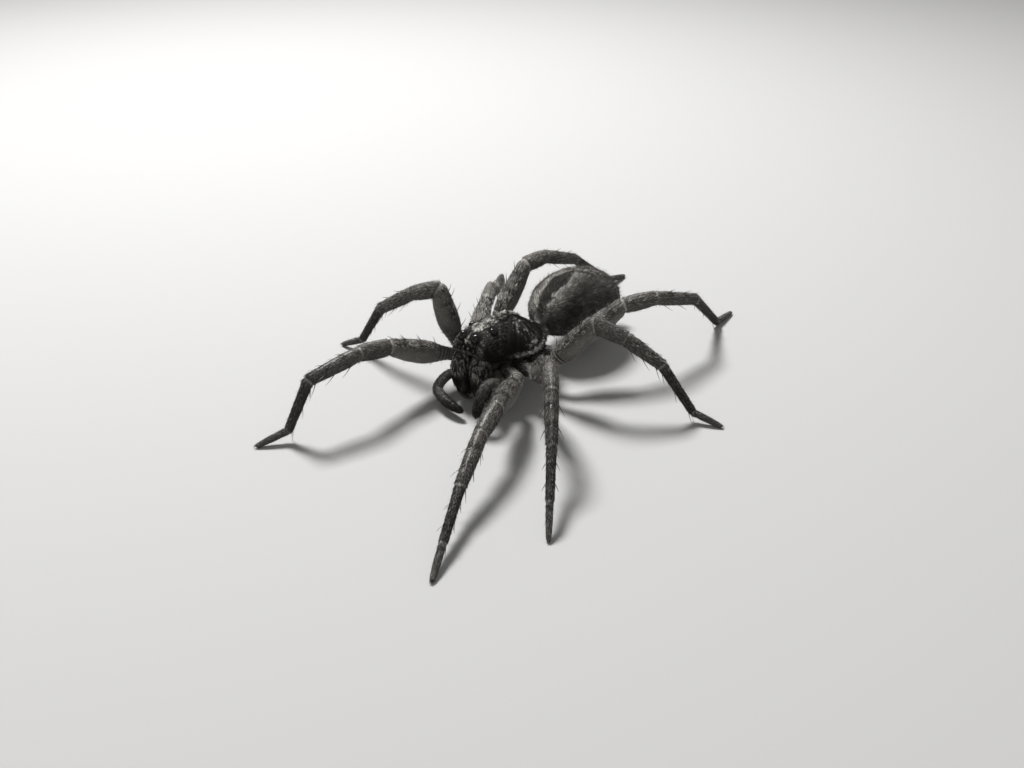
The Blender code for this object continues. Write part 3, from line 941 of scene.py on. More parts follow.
    def margin_band(self, place: Array) -> Array:
        """One on the pale band just above the lower edge of the chest."""
        y = place[..., 1]
        height = self.above_rim(place)
        edge = (mottle(place, 0.3, 11) - 0.5) * 0.34
        band = bell(height + 0.6 * edge - 0.28, 0.17)
        patches = ramp(mottle(place, 0.36, 13), 0.38, 0.6)
        reach = ramp(y, -0.8, 0.6) * (1.0 - 0.8 * ramp(y, 1.9, 2.7))
        band = band + 0.9 * patches * bell(height + edge - 0.86, 0.27) * reach
        return np.clip(band, 0.0, 1.0) * ramp(y, -2.6, -1.4)

    def shade(self, roots: Roots) -> Array:
        """How pale the shield is."""
        place = roots.place
        cloud = mottle(place, 0.5, 1)
        # The dark base is the shield's own dark colour, deepened further as painted shade on the
        # flanks that the pale bands leave bare.
        base = 0.015 + 0.05 * cloud + 0.10 * self.network(place)
        base = blend(base, 0.22 + 0.12 * cloud, self.speckle(place) * 0.8)
        base = blend(base, 0.30 + 0.16 * cloud, self.median_band(place) * 0.9)
        base = blend(base, 0.34, self.rays(place, 0.08) * 0.8)
        base = blend(base, 0.34, self.margin_band(place) * 0.8)
        return base * (1.0 - 0.9 * self.eye_nearness(place, 0.20))

    def gloss(self, roots: Roots) -> Array:
        """How bare the shield is."""
        bare = 1.0 - np.maximum(self.median_band(roots.place), self.margin_band(roots.place))
        return bare * 0.8

    def density(self, roots: Roots) -> Array:
        """How dense the hairs stand."""
        place = roots.place
        above = ramp(self.above_rim(place), 0.02, 0.12)
        facing = ramp(roots.normal[..., 2], -0.3, 0.0)
        dense = 0.62 + 1.1 * self.median_band(place) + 1.3 * self.margin_band(place)
        dense = dense + 1.4 * self.rays(place, 0.09) + 0.6 * self.network(place)
        dense = dense + 0.7 * self.speckle(place)
        inside = self.eye_nearness(place, 0.12)
        face = 1.0 - ramp(place[..., 1], -4.3, -3.9)
        return (dense + 0.6 * face) * above * facing * (1.0 - ramp(inside, 0.45, 0.8))

    def lie(self, roots: Roots) -> Array:
        """Which way the hairs point: back over the head, outwards and back on the chest."""
        x, y, _z = np.moveaxis(roots.place, -1, 0)
        chest = ramp(y, -2.4, 0.2)
        low = 1.0 - ramp(self.above_rim(roots.place), 0.3, 1.2)
        face = 1.0 - ramp(y, -4.25, -3.9)
        outwards = np.sign(x) * (blend(-0.25, 0.35, chest) + 0.3 * low)
        return np.stack([outwards, 1.0 - face, face * 0.9 - 0.25 * low * chest], axis=-1)

    def coat(self, tube: Tube, rng: np.random.Generator) -> Web:
        """The hairs of the shield."""
        roots = tube.scatter(self.coat_count, self.density, rng)
        place = roots.place
        count = len(place)
        median = self.median_band(place)
        margin = self.margin_band(place)
        rays = self.rays(place, 0.085)
        net = self.network(place)
        speckle = self.speckle(place)
        face = 1.0 - ramp(place[..., 1], -4.0, -2.6)
        brow = 1.0 - ramp(place[..., 1], -4.45, -4.2)
        pale = np.maximum(np.maximum(median, margin), np.maximum(ramp(rays, 0.1, 0.85), net * 0.5))
        pale = np.maximum(pale, np.maximum(brow * 0.6, speckle * 0.62))
        pale = pale * (1.0 - ramp(self.eye_nearness(place, 0.22), 0.35, 0.75))
        # The dark end of the hairs is their own dark colour, deepened further as painted shade on
        # the flanks.
        shade = blend(0.045, 0.86, pale) * rng.normal(1.0, 0.20, count)
        grain = ramp(mottle(place, 0.13, 14), 0.34, 0.58)
        marked = np.maximum(np.maximum(median, margin), speckle)
        shade = shade * blend(1.0, blend(0.25, 1.25, grain), marked)
        dusk = rng.random(count) < 0.22
        shade = np.where(dusk, shade * 0.30, shade)
        length = blend(0.22, 0.44, np.maximum(median, margin)) * (1.0 - 0.35 * face)
        length = length * rng.uniform(0.7, 1.3, count)
        width = blend(0.036, 0.068, pale) * rng.uniform(0.8, 1.2, count)
        lift = np.radians(rng.uniform(8.0, 28.0, count) + 14.0 * median + 10.0 * margin)
        lie = self.lie(roots) + rng.normal(0.0, 0.28, (count, 3))
        return fur(roots, lie, length, width, lift, 0.45, shade)

    def bristles(self, tube: Tube, rng: np.random.Generator) -> Web:
        """The long thin dark bristles between the eyes and on the brow."""

        def brow(roots: Roots) -> Array:
            """Only near the eyes and on top of the head."""
            place = roots.place
            near = self.eye_nearness(place, 0.5) - 1.4 * self.eye_nearness(place, 0.05)
            top = ramp(place[..., 2], 2.2, 2.6)
            return np.clip(near, 0.0, None) * top + 0.03 * top

        roots = tube.scatter(self.bristle_count, brow, rng)
        count = len(roots.place)
        lie = np.zeros((count, 3))
        lie[:, 1] = rng.normal(-0.2, 0.6, count)
        lie[:, 2] = 0.6
        lie[:, 0] = rng.normal(0.0, 0.4, count)
        length = rng.uniform(0.45, 0.95, count)
        lift = np.radians(rng.uniform(35.0, 70.0, count))
        return fur(roots, lie, length, np.full(count, 0.022), lift, 0.25,
                   rng.uniform(0.05, 0.3, count))

    def build(self) -> None:
        """Make the shield and its coat."""
        tube = self.shape()
        shell = skin_of(tube, self.shade, self.gloss)
        shell.piece("shell_carapace", CARAPACE_SHELL.material, "carapace", ("carapace",))
        rng = np.random.default_rng(self.seed)
        web = Web.joined([self.coat(tube, rng), self.bristles(tube, rng)])
        for number, half in enumerate(split_by_triangles(web, 2)):
            half.piece(f"coat_carapace_{number + 1}", PELT.material, "carapace")


def split_by_triangles(web: Web, parts: int) -> list[Web]:
    """A web of many small solids cut into parts of like size, none of them split.

    Args:
        web: the whole, its solids one after another.
        parts: how many parts.

    Returns:
        The parts.
    """
    goal = len(web.triangles) // parts
    ends = np.maximum.accumulate(web.triangles.max(axis=1))
    low = np.minimum.accumulate(web.triangles.min(axis=1)[::-1])[::-1]
    clean = np.flatnonzero(low[1:] > ends[:-1]) + 1
    cuts = [0] + [int(clean[np.abs(clean - goal * n).argmin()]) for n in range(1, parts)]
    cuts.append(len(web.triangles))
    made = []
    for first, last in zip(cuts, cuts[1:]):
        triangles = web.triangles[first:last]
        base, top = triangles.min(), triangles.max() + 1
        points, shade, gloss, spots = (
            values[base:top] for values in (web.points, web.shade, web.gloss, web.spots)
        )
        made.append(Web(points, triangles - base, shade, gloss, spots))
    return made


# ---------------------------------------------------------------- eyes


@dataclass
class Eyes:
    """Eight simple eyes: four small ones over the jaws, two large ones above and two behind."""

    segments: int = 32
    rings: int = 20
    seat: float = 0.42
    rounding: float = 0.08
    socket: tuple[float, float, float] = (0.0, -2.6, 2.3)

    def ball(self, name: str, centre: Vector, radius: float, look: Vector) -> bpy.types.Object:
        """One eye: a lens whose hidden back is cut flat and rounded at its edge.

        Args:
            name: of the piece.
            centre: of the lens, in metres.
            radius: of the lens, in metres.
            look: the way it faces.

        Returns:
            The piece.
        """
        bpy.ops.object.select_all(action="DESELECT")
        bpy.ops.mesh.primitive_uv_sphere_add(segments=self.segments, ring_count=self.rings)
        piece = bpy.context.active_object
        piece.name = name
        bpy.ops.object.mode_set(mode="EDIT")
        bpy.ops.mesh.select_all(action="SELECT")
        bpy.ops.mesh.bisect(
            plane_co=(0.0, 0.0, -self.seat), plane_no=(0.0, 0.0, -1.0), use_fill=True,
            clear_outer=True,
        )
        bpy.ops.mesh.bevel(offset=self.rounding, segments=2, affect="EDGES")
        bpy.ops.mesh.select_all(action="SELECT")
        bpy.ops.mesh.normals_make_consistent(inside=False)
        bpy.ops.mesh.faces_shade_smooth()
        bpy.ops.object.mode_set(mode="OBJECT")
        piece.location = centre
        piece.scale = (radius, radius, radius)
        piece.rotation_euler = look.to_track_quat("Z", "Y").to_euler()
        bpy.ops.object.transform_apply(location=True, rotation=True, scale=True)
        piece.data.materials.append(EYE_GLASS.material)
        shade = piece.data.attributes.new(SHADE, "FLOAT", "POINT")
        shade.data.foreach_set("value", np.full(len(piece.data.vertices), 0.5, np.float32))
        return piece

    def build(self) -> None:
        """Make all eight, each facing away from a point inside the head."""
        inner = Vector(STANCE.metres(np.array(self.socket), True))
        for name, place, radius in EYE_PLACES:
            for side in Side:
                centre = Vector(STANCE.metres(place * side.flip, True))
                look = (centre - inner).normalized()
                node = f"eye_{name}_{side.word}"
                piece = self.ball(f"lens_{name}_{side.word}", centre, radius * MM, look)
                dress(piece, (node,))


# ---------------------------------------------------------------- jaws and mouth


@dataclass
class Jaws:
    """The two stout jaws with their fangs, and the mouthparts behind them."""

    levels: tuple[tuple[float, float, float, float, float], ...] = (
        (1.76, 0.98, -3.98, 0.62, 0.38),
        (1.48, 1.02, -4.05, 0.82, 0.52),
        (1.20, 1.04, -4.10, 0.88, 0.72),
        (0.98, 1.06, -4.12, 0.92, 0.86),
        (0.50, 1.10, -4.16, 0.98, 1.04),
        (-0.40, 1.12, -4.18, 1.00, 1.02),
        (-1.35, 1.09, -4.16, 0.90, 0.88),
        (-1.98, 1.02, -4.10, 0.70, 0.68),
        (-2.20, 0.98, -4.06, 0.42, 0.40),
    )
    inset: float = 0.06
    columns: int = 56
    rows: int = 76
    coat_count: int = 9600
    bristle: PlainHair = PlainHair(420, (0.45, 0.8), (0.03,), (22.0, 45.0), (0.1, 0.3),
                                   spread=0.25)
    seed: int = 21
    boss: tuple[float, float, float] = (1.25, -5.0, 0.85)
    fang_rows: int = 40
    fang_columns: int = 24
    fang_centre: tuple[float, float, float] = (0.80, -4.10, -2.32)
    fang_bend: tuple[float, float] = (0.62, 0.40)
    fang_sweep: tuple[float, float] = (-22.0, -152.0)
    fang_radii: tuple[float, ...] = (0.25, 0.235, 0.20, 0.155, 0.10, 0.035)

    def jaw(self, side: Side) -> Tube:
        """One jaw's surface, from its top to its tip."""
        table = np.array(self.levels)[::-1]
        z = np.linspace(table[-1, 0], table[0, 0], self.rows)
        x, y, wide, deep = (np.interp(z, table[:, 0], table[:, c]) for c in (1, 2, 3, 4))
        wide, deep = smoothed(wide, 7, 0.7), smoothed(deep, 7, 0.7)
        turn = np.linspace(0.0, math.tau, self.columns, endpoint=False)[None, :]
        rings = np.stack(
            [
                (x[:, None] + (wide[:, None] - self.inset) * np.cos(turn)) * side.value,
                y[:, None] + (deep[:, None] - self.inset) * np.sin(turn),
                np.broadcast_to(z[:, None], (self.rows, self.columns)),
            ],
            axis=-1,
        )
        top, tip = rings[0].mean(axis=0), rings[-1].mean(axis=0)
        poles = (top + 0.10 * UPWARDS, tip + 0.06 * DOWNWARDS)
        tube = Tube(rings, poles, z)
        place = tube.roots.place
        boss = bell(np.linalg.norm(place - self.boss * side.flip, axis=-1), 0.35)
        inner = 1.0 - np.abs(place[..., 0])
        flat = -0.08 * ramp(inner, 0.55, 0.95)
        return tube.push(0.05 * boss + flat + 0.025 * (mottle(place, 0.4, 31) - 0.5))

    def shade(self, roots: Roots) -> Array:
        """How pale a jaw is: dusky above, almost black below."""
        high = ramp(roots.place[..., 2], -1.0, 0.4)
        return 0.015 + 0.04 * high + 0.04 * mottle(roots.place, 0.3, 33)

    def coat(self, tube: Tube, rng: np.random.Generator) -> Web:
        """Pale hairs that hang down the upper half, dark ones lower, and the dark fringe."""

        def dense(roots: Roots) -> Array:
            """Thick in front and above, thinner to the tip; none on the bare boss."""
            high = ramp(roots.place[..., 2], -1.3, 0.1)
            boss = np.abs(roots.place[..., 0]) - 1.15
            bare = bell(np.hypot(boss, roots.place[..., 2] - 1.0), 0.34)
            return (0.35 + high) * (1.0 - 0.85 * bare)

        roots = tube.scatter(self.coat_count, dense, rng)
        place = roots.place
        count = len(place)
        edge = (mottle(place, 0.35, 35) - 0.5) * 0.5
        high = ramp(place[..., 2] + edge, -0.55, 0.35)
        clump = ramp(mottle(place * np.array((1.0, 1.0, 0.25)), 0.09, 37), 0.36, 0.64)
        clump = clump * (rng.random(count) < 0.7)
        shade = blend(0.035, 0.05 + 0.78 * clump, high) * rng.normal(1.0, 0.25, count)
        length = blend(0.40, 0.30, high) * rng.uniform(0.7, 1.3, count)
        width = blend(0.028, 0.036, high) * rng.uniform(0.8, 1.2, count)
        lift = np.radians(rng.uniform(8.0, 24.0, count))
        lie = scattered(DOWNWARDS, count, 0.09, rng)
        return fur(roots, lie, length, width, lift, 0.4, shade)

    def bristles(self, tube: Tube, rng: np.random.Generator) -> Web:
        """Long stiff bristles, and the fringe along the fang's groove."""

        def dense(roots: Roots) -> Array:
            """All over a little, much at the tip."""
            return 0.12 + 2.2 * (1.0 - ramp(roots.place[..., 2], -2.0, -1.5))

        return self.bristle.grow(tube, DOWNWARDS, dense, rng)

    def fang(self, side: Side) -> Tube:
        """One fang: a tapered hook folded in under its jaw."""
        share = np.linspace(0.0, 1.0, self.fang_rows)
        angle = np.radians(blend(self.fang_sweep[0], self.fang_sweep[1], share))
        line = np.stack(
            [
                (self.fang_centre[0] + self.fang_bend[0] * np.cos(angle)) * side.value,
                np.full(self.fang_rows, self.fang_centre[1]),
                self.fang_centre[2] + self.fang_bend[1] * np.sin(angle),
            ],
            axis=-1,
        )
        radius = np.interp(share, np.linspace(0.0, 1.0, len(self.fang_radii)), self.fang_radii)
        return tube_along(line, radius, radius, self.fang_columns, share)

    def build(self) -> None:
        """Make both jaws, their coats and their fangs."""
        for side in Side:
            tube = self.jaw(side)
            shell = skin_of(tube, self.shade, even(0.8))
            name = f"chelicera_{side.word}"
            shell.piece(f"jaw_{side.word}", JAW_SHELL.material, "chelicera", (name,))
            rng = np.random.default_rng(self.seed)
            web = Web.joined([self.coat(tube, rng), self.bristles(tube, rng)])
            web.piece(f"coat_jaw_{side.word}", PELT.material, "chelicera")
            fang = skin_of(
                self.fang(side), lambda roots: 0.15 + 0.5 * (1.0 - roots.station), even(1.0),
            )
            name = f"fang_{side.word}"
            fang.piece(f"hook_{side.word}", HORN.material, "fang", (name,))


def tube_along(
    line: Array, half_width: Array, half_height: Array, columns: int, stations: Array,
    directions: Array | None = None,
) -> Tube:
    """A closed tube along a line, its rings square to the line and as upright as can be.

    Args:
        line: its middle, (rows, 3).
        half_width: of each ring.
        half_height: of each ring.
        columns: points round a ring.
        stations: a value for each ring.
        directions: of the line at each ring, if they are known.

    Returns:
        The tube.
    """
    way = unit(np.gradient(line, axis=0)) if directions is None else directions
    across = unit(np.cross(way, UPWARDS))
    upward = np.cross(across, way)
    turn = np.linspace(0.0, math.tau, columns, endpoint=False)[None, :, None]
    rings = (
        line[:, None] + across[:, None] * (half_width[:, None, None] * np.cos(turn))
        + upward[:, None] * (half_height[:, None, None] * np.sin(turn))
    )
    first = line[0] - way[0] * (half_height[0] * END_BULGE)
    last = line[-1] + way[-1] * (half_height[-1] * END_BULGE)
    return Tube(rings, (first, last), stations)


# ---------------------------------------------------------------- abdomen


@dataclass
class Abdomen:
    """The egg-shaped abdomen on its short waist, with its folium and velvety coat."""

    length: float = 10.8
    front: float = 4.80
    middle_height: float = 1.15
    sections: tuple[tuple[float, float, float, float], ...] = (
        (0.010, 0.60, 0.60, 0.00),
        (0.05, 1.55, 1.45, 0.16),
        (0.13, 2.50, 2.20, 0.30),
        (0.26, 3.25, 2.78, 0.34),
        (0.42, 3.70, 3.08, 0.26),
        (0.58, 3.75, 3.12, 0.12),
        (0.72, 3.42, 2.90, -0.06),
        (0.85, 2.65, 2.34, -0.28),
        (0.94, 1.65, 1.55, -0.50),
        (0.988, 0.66, 0.66, -0.70),
    )
    waist_radius: float = 0.42
    waist_start: tuple[float, float] = (2.75, 0.30)
    tail_end: tuple[float, float, float] = (0.30, 0.30, -0.76)
    waist_end: tuple[float, float, float] = (0.36, 0.36, -0.15)
    dimples: tuple[tuple[float, float], ...] = ((0.24, 0.75), (0.38, 0.9), (0.52, 0.8))
    chevrons: int = 6
    inset: float = 0.20
    waist_rows: int = 14
    rows: int = 130
    columns: int = 128
    coat_count: int = 60000
    guard_count: int = 2600
    coat_parts: int = 4
    seed: int = 31

    def shape(self) -> Tube:
        """The surface, from inside the chest back to the spinnerets."""
        table = np.array(self.sections)
        fraction = (1.0 - np.cos(np.linspace(0.0, math.pi, self.rows))) / 2.0
        fraction = 0.012 + 0.974 * fraction
        knots = np.vstack([(0.0, *self.waist_end), table, (1.0, *self.tail_end)])
        fine = np.linspace(0.0, 1.0, 400)
        wide, high, rise = (
            np.interp(fraction, fine, smoothed(np.interp(fine, knots[:, 0], knots[:, c]), 25, 0.6))
            for c in (1, 2, 3)
        )
        y = self.front + self.length * fraction
        middle = self.middle_height + rise
        waist_y = np.linspace(self.waist_start[0], self.front + 0.02, self.waist_rows)
        waist_z = np.linspace(self.waist_start[1], middle[0] - 0.1, self.waist_rows)
        waist = np.full(self.waist_rows, self.waist_radius)
        wide = np.concatenate([waist, wide - self.inset * ramp(wide, 0.4, 1.2)])
        high = np.concatenate([waist * 0.8, high - self.inset * ramp(high, 0.4, 1.2)])
        line = np.stack(
            [np.zeros(len(wide)), np.concatenate([waist_y, y]), np.concatenate([waist_z, middle])],
            axis=-1,
        )
        straight = np.broadcast_to(BACKWARDS, line.shape)
        stations = (line[:, 1] - self.front) / self.length
        tube = tube_along(line, wide, high, self.columns, stations, straight)
        place = tube.roots.place
        body = ramp(tube.roots.station, 0.02, 0.12) * (1.0 - ramp(tube.roots.station, 0.9, 0.99))
        return tube.push(body * self.relief(place, tube.roots.station))

    def relief(self, place: Array, station: Array) -> Array:
        """Soft folds and the paired muscle dimples on the back."""
        stand = 0.10 * (mottle(place, 1.6, 41) - 0.5) + 0.05 * (mottle(place, 0.6, 43) - 0.5)
        for at, out in self.dimples:
            gap = np.hypot((station - at) * self.length, np.abs(place[..., 0]) - out)
            stand = stand - 0.10 * bell(gap, 0.22) * (place[..., 2] > self.middle_height)
        return stand

    def shade(self, roots: Roots) -> Array:
        """The pattern: a dark heart mark in a pale back, chevrons behind, mottled sides."""
        place, station = roots.place, roots.station
        side = np.abs(place[..., 0])
        upper = ramp(place[..., 2], self.middle_height - 0.6, self.middle_height + 1.6)
        edge = (mottle(place, 0.5, 51) - 0.5) * 0.5
        base = 0.36 + 0.22 * (mottle(place, 0.32, 53) - 0.5)
        base = base + 0.12 * (mottle(place, 1.2, 55) - 0.5)
        back = 1.0 - ramp(side + edge, 1.1, 1.9)
        base = blend(base, base + 0.16, back * upper)
        width = np.interp(station, (0.03, 0.08, 0.18, 0.27, 0.36, 0.46, 0.5),
                          (0.35, 0.50, 0.62, 0.78, 0.5, 0.22, 0.0))
        heart = 1.0 - ramp(side + edge * 0.35, width * 0.85, width * 1.15 + 0.02)
        heart = heart * (1.0 - ramp(station, 0.47, 0.5))
        rim = bell(side + edge * 0.35 - width * 1.25 - 0.08, 0.13)
        rim = rim * (1.0 - ramp(station, 0.45, 0.55))
        base = blend(base, 0.16, heart * upper)
        base = blend(base, 0.74, rim * upper * 0.8)
        for number in range(self.chevrons):
            at = 0.48 + 0.085 * number
            reach = 2.1 - 0.22 * number
            line = station * self.length - (at * self.length + side * 0.55)
            arm = bell(line + edge * 0.4, 0.17) * (1.0 - ramp(side, reach * 0.7, reach))
            base = blend(base, 0.14, arm * upper * 0.9)
            pale = bell(line + edge * 0.4 - 0.34, 0.13)
            pale = pale * (1.0 - ramp(side, reach * 0.55, reach * 0.9))
            base = blend(base, 0.72, pale * upper * 0.7)
            dot = bell(np.hypot(line - 0.3, side - reach * 0.8), 0.16)
            base = blend(base, 0.78, dot * upper * 0.8)
        streak = bell(side - 2.3 + edge, 0.35) * upper * (1.0 - ramp(station, 0.3, 0.6))
        base = blend(base, 0.18, streak * 0.8)
        belly = 1.0 - ramp(place[..., 2], self.middle_height - 2.4, self.middle_height - 1.2)
        return blend(base, 0.46 + 0.1 * (mottle(place, 0.4, 57) - 0.5), belly * 0.8)

    def coat(self, tube: Tube, rng: np.random.Generator) -> Web:
        """Dense soft hairs that lie back."""

        def dense(roots: Roots) -> Array:
            """All over but the waist, thinner below."""
            below = ramp(-roots.normal[..., 2], 0.2, 0.8)
            return ramp(roots.station, 0.005, 0.04) * (1.0 - 0.3 * below)

        roots = tube.scatter(self.coat_count, dense, rng)
        count = len(roots.place)
        shade = (self.shade(roots) * 1.12 + 0.02) * rng.normal(1.0, 0.24, count)
        rear = ramp(roots.station, 0.8, 1.0)
        length = rng.uniform(0.34, 0.66, count) * (1.0 - 0.25 * rear)
        width = rng.uniform(0.034, 0.056, count)
        lift = np.radians(rng.uniform(12.0, 34.0, count))
        lie = BACKWARDS + 0.25 * DOWNWARDS
        lie = lie + 0.35 * (mottle(roots.place, 1.1, 61)[:, None] - 0.5)
        lie = lie + rng.normal(0.0, 0.22, (count, 3))
        return fur(roots, lie, length, width, lift, 0.42, shade)

    def guard_hairs(self, tube: Tube, rng: np.random.Generator) -> Web:
        """Longer single hairs that stand out of the velvet and give it its soft outline."""

        count = self.guard_count
        roots = tube.scatter(count, lambda spots: ramp(spots.station, 0.01, 0.05), rng)
        lie = scattered(BACKWARDS, count, 0.3, rng)
        length = rng.uniform(0.7, 1.1, count)
        lift = np.radians(rng.uniform(30.0, 55.0, count))
        shade = rng.choice((0.15, 0.3, 0.6), count)
        return fur(roots, lie, length, np.full(count, 0.024), lift, 0.35, shade)

    def build(self) -> None:
        """Make the abdomen and its coat."""
        tube = self.shape()
        skin = skin_of(tube, self.shade, even(0.0))
        skin.piece("skin_abdomen", BODY_SKIN.material, "abdomen", ("abdomen",))
        rng = np.random.default_rng(self.seed)
        web = Web.joined([self.coat(tube, rng), self.guard_hairs(tube, rng)])
        for number, part in enumerate(split_by_triangles(web, self.coat_parts)):
            part.piece(f"coat_abdomen_{number + 1}", PELT.material, "abdomen")


# ---------------------------------------------------------------- chest below, mouth, spinnerets


@dataclass
class Underside:
    """Breastplate, the soft flanks above it, the mouthparts and the spinnerets."""

    chest_rows: int = 60
    chest_columns: int = 72
    chest_span: tuple[float, float] = (-3.5, 4.1)
    chest_half: tuple[float, float] = (2.05, 0.86)
    chest_hair: PlainHair = PlainHair(4500, (0.25, 0.45), (0.026, 0.04), (15.0, 35.0), (0.15, 0.5))
    chest_seed: int = 41
    mouth_centre: tuple[float, float, float] = (0.0, -2.56, -0.60)
    mouth_lobes: tuple[tuple[float, float, float, float], ...] = (
        (-0.66, 0.50, 0.40, 0.58), (0.66, 0.50, 0.40, 0.58), (0.0, 0.30, 0.34, 0.40),
    )
    mouth_rows: int = 24
    mouth_columns: int = 28
    mouth_hair: PlainHair = PlainHair(300, (0.2, 0.4), (0.03,), (20.0, 45.0), (0.2, 0.6))
    mouth_seed: int = 43
    spinneret_mount: tuple[float, float, float] = (0.0, 15.98, 0.10)
    spinneret_cones: tuple[tuple[float, float, float, float], ...] = (
        (-0.27, 0.20, 0.85, 0.21), (0.27, 0.20, 0.85, 0.21), (-0.27, -0.22, 0.8, 0.22),
        (0.27, -0.22, 0.8, 0.22), (-0.1, 0.0, 0.5, 0.12), (0.1, 0.0, 0.5, 0.12),
    )
    spinneret_rows: int = 22
    spinneret_columns: int = 20
    spinneret_hair: PlainHair = PlainHair(260, (0.15, 0.34), (0.028,), (10.0, 35.0), (0.3, 0.7),
                                          droop=0.3, spread=0.0)
    spinneret_seed: int = 45
    mound_rows: int = 18
    mound_columns: int = 32
    mound_half: tuple[float, float, float] = (0.60, 0.30, 0.53)
    mound_reach: float = 0.28

    def chest(self) -> Tube:
        """The dark soft body between breastplate, leg bases and shield."""
        y = np.linspace(*self.chest_span, self.chest_rows)
        share = np.sqrt(np.clip(1.0 - ((y - 0.3) / 3.95) ** 2, 0.02, 1.0))
        line = np.stack([np.zeros_like(y), y, 0.12 + 0.06 * np.maximum(y, 0.0)], axis=-1)
        straight = np.broadcast_to(BACKWARDS, line.shape)
        width, height = self.chest_half
        columns = self.chest_columns
        tube = tube_along(line, width * share, height * share**0.6, columns, y, straight)
        return tube.push(0.05 * (mottle(tube.roots.place, 0.35, 71) - 0.5))

    def build_chest(self) -> None:
        """Make the breastplate piece with its hairs."""
        tube = self.chest()
        skin = skin_of(tube, lambda r: 0.14 + 0.10 * mottle(r.place, 0.4, 73), even(0.4))
        skin.piece("plate_sternum", BODY_SKIN.material, "underside", ("sternum",))
        rng = np.random.default_rng(self.chest_seed)
        web = self.chest_hair.grow(tube, BACKWARDS, even(1.0), rng)
        web.piece("coat_sternum", PELT.material, "underside")

    def lobe(self, offset: float, half: Array) -> Tube:
        """One egg-shaped lobe of the mouth, at an offset sideways, with its half sizes."""
        angle = np.linspace(-1.35, 1.35, self.mouth_rows)
        turn = np.linspace(0.0, math.tau, self.mouth_columns, endpoint=False)[None, :]
        middle = np.array(self.mouth_centre) + np.array((offset, 0.0, 0.0))
        line = middle + UPWARDS * (np.sin(angle) * half[2])[:, None]
        width = np.cos(angle)[:, None]
        rings = np.stack(
            [
                line[:, None, 0] + half[0] * width * np.cos(turn),
                line[:, None, 1] + half[1] * width * np.sin(turn),
                np.broadcast_to(line[:, None, 2], (self.mouth_rows, self.mouth_columns)),
            ],
            axis=-1,
        )
        return Tube(rings, (line[0], line[-1]), angle)

    def build_mouth(self) -> None:
        """The two rounded maxillae with the small lip between them, joined in one piece."""
        webs = []
        way = DOWNWARDS - 0.4 * BACKWARDS
        for offset, *half in self.mouth_lobes:
            tube = self.lobe(offset, np.array(half))
            webs.append(skin_of(tube, lambda r: 0.2 + 0.1 * mottle(r.place, 0.3, 75), even(0.5)))
            rng = np.random.default_rng(self.mouth_seed)
            webs.append(self.mouth_hair.grow(tube, way, even(1.0), rng))
        Web.joined(webs).piece("mouth_lobes", BODY_SKIN.material, "underside", ("mouthparts",))

    def mound(self) -> Tube:
        """The low mound that carries the cones."""
        wide, deep, high = self.mound_half
        y = np.linspace(-self.mound_reach, self.mound_reach, self.mound_rows)
        ring = np.sqrt(1.0 - (y / deep) ** 2)
        line = np.array(self.spinneret_mount) + BACKWARDS * y[:, None]
        straight = np.broadcast_to(BACKWARDS, line.shape)
        return tube_along(line, wide * ring, high * ring, self.mound_columns, y, straight)

    def build_spinnerets(self) -> None:
        """Six short jointed cones on a low mound, with a fringe of hair at each tip."""
        mount = np.array(self.spinneret_mount)
        webs = []
        rng = np.random.default_rng(self.spinneret_seed)
        share = np.linspace(0.0, 1.0, self.spinneret_rows)
        swell = np.interp(share, (0.0, 0.5, 0.56, 0.62, 0.92, 1.0),
                          (1.1, 1.0, 0.86, 0.9, 0.55, 0.3))
        for x, z, length, radius in self.spinneret_cones:
            start = mount + np.array((x, -0.05, z))
            way = unit(np.array((x * 0.5, 1.0, z * 0.35 - 0.05)))
            line = start + way * (share * length)[:, None]
            thick = radius * swell
            tube = tube_along(line, thick, thick, self.spinneret_columns, share)
            webs.append(skin_of(tube, lambda r: 0.34 + 0.2 * r.station, even(0.3)))
            webs.append(self.spinneret_hair.grow(tube, way, lambda r: 0.3 + r.station, rng))
        webs.append(
            skin_of(self.mound(), lambda r: 0.3 + 0.1 * mottle(r.place, 0.2, 77), even(0.2))
        )
        whole = Web.joined(webs)
        whole.piece("spinneret_cluster", BODY_SKIN.material, "underside", ("spinnerets",))

    def build(self) -> None:
        """Make all of them."""
        self.build_chest()
        self.build_mouth()
        self.build_spinnerets()


# ---------------------------------------------------------------- legs


def direction_of(heading: float, rise: float, mirror: float) -> Array:
    """Unit vector at a heading and a rise.

    Args:
        heading: from straight ahead, in degrees.
        rise: from the level, in degrees.
        mirror: one to the left, minus one to the right.

    Returns:
        The vector.
    """
    turn, lift = math.radians(heading), math.radians(rise)
    level = math.cos(lift)
    return np.array((math.sin(turn) * level * mirror, -math.cos(turn) * level, math.sin(lift)))


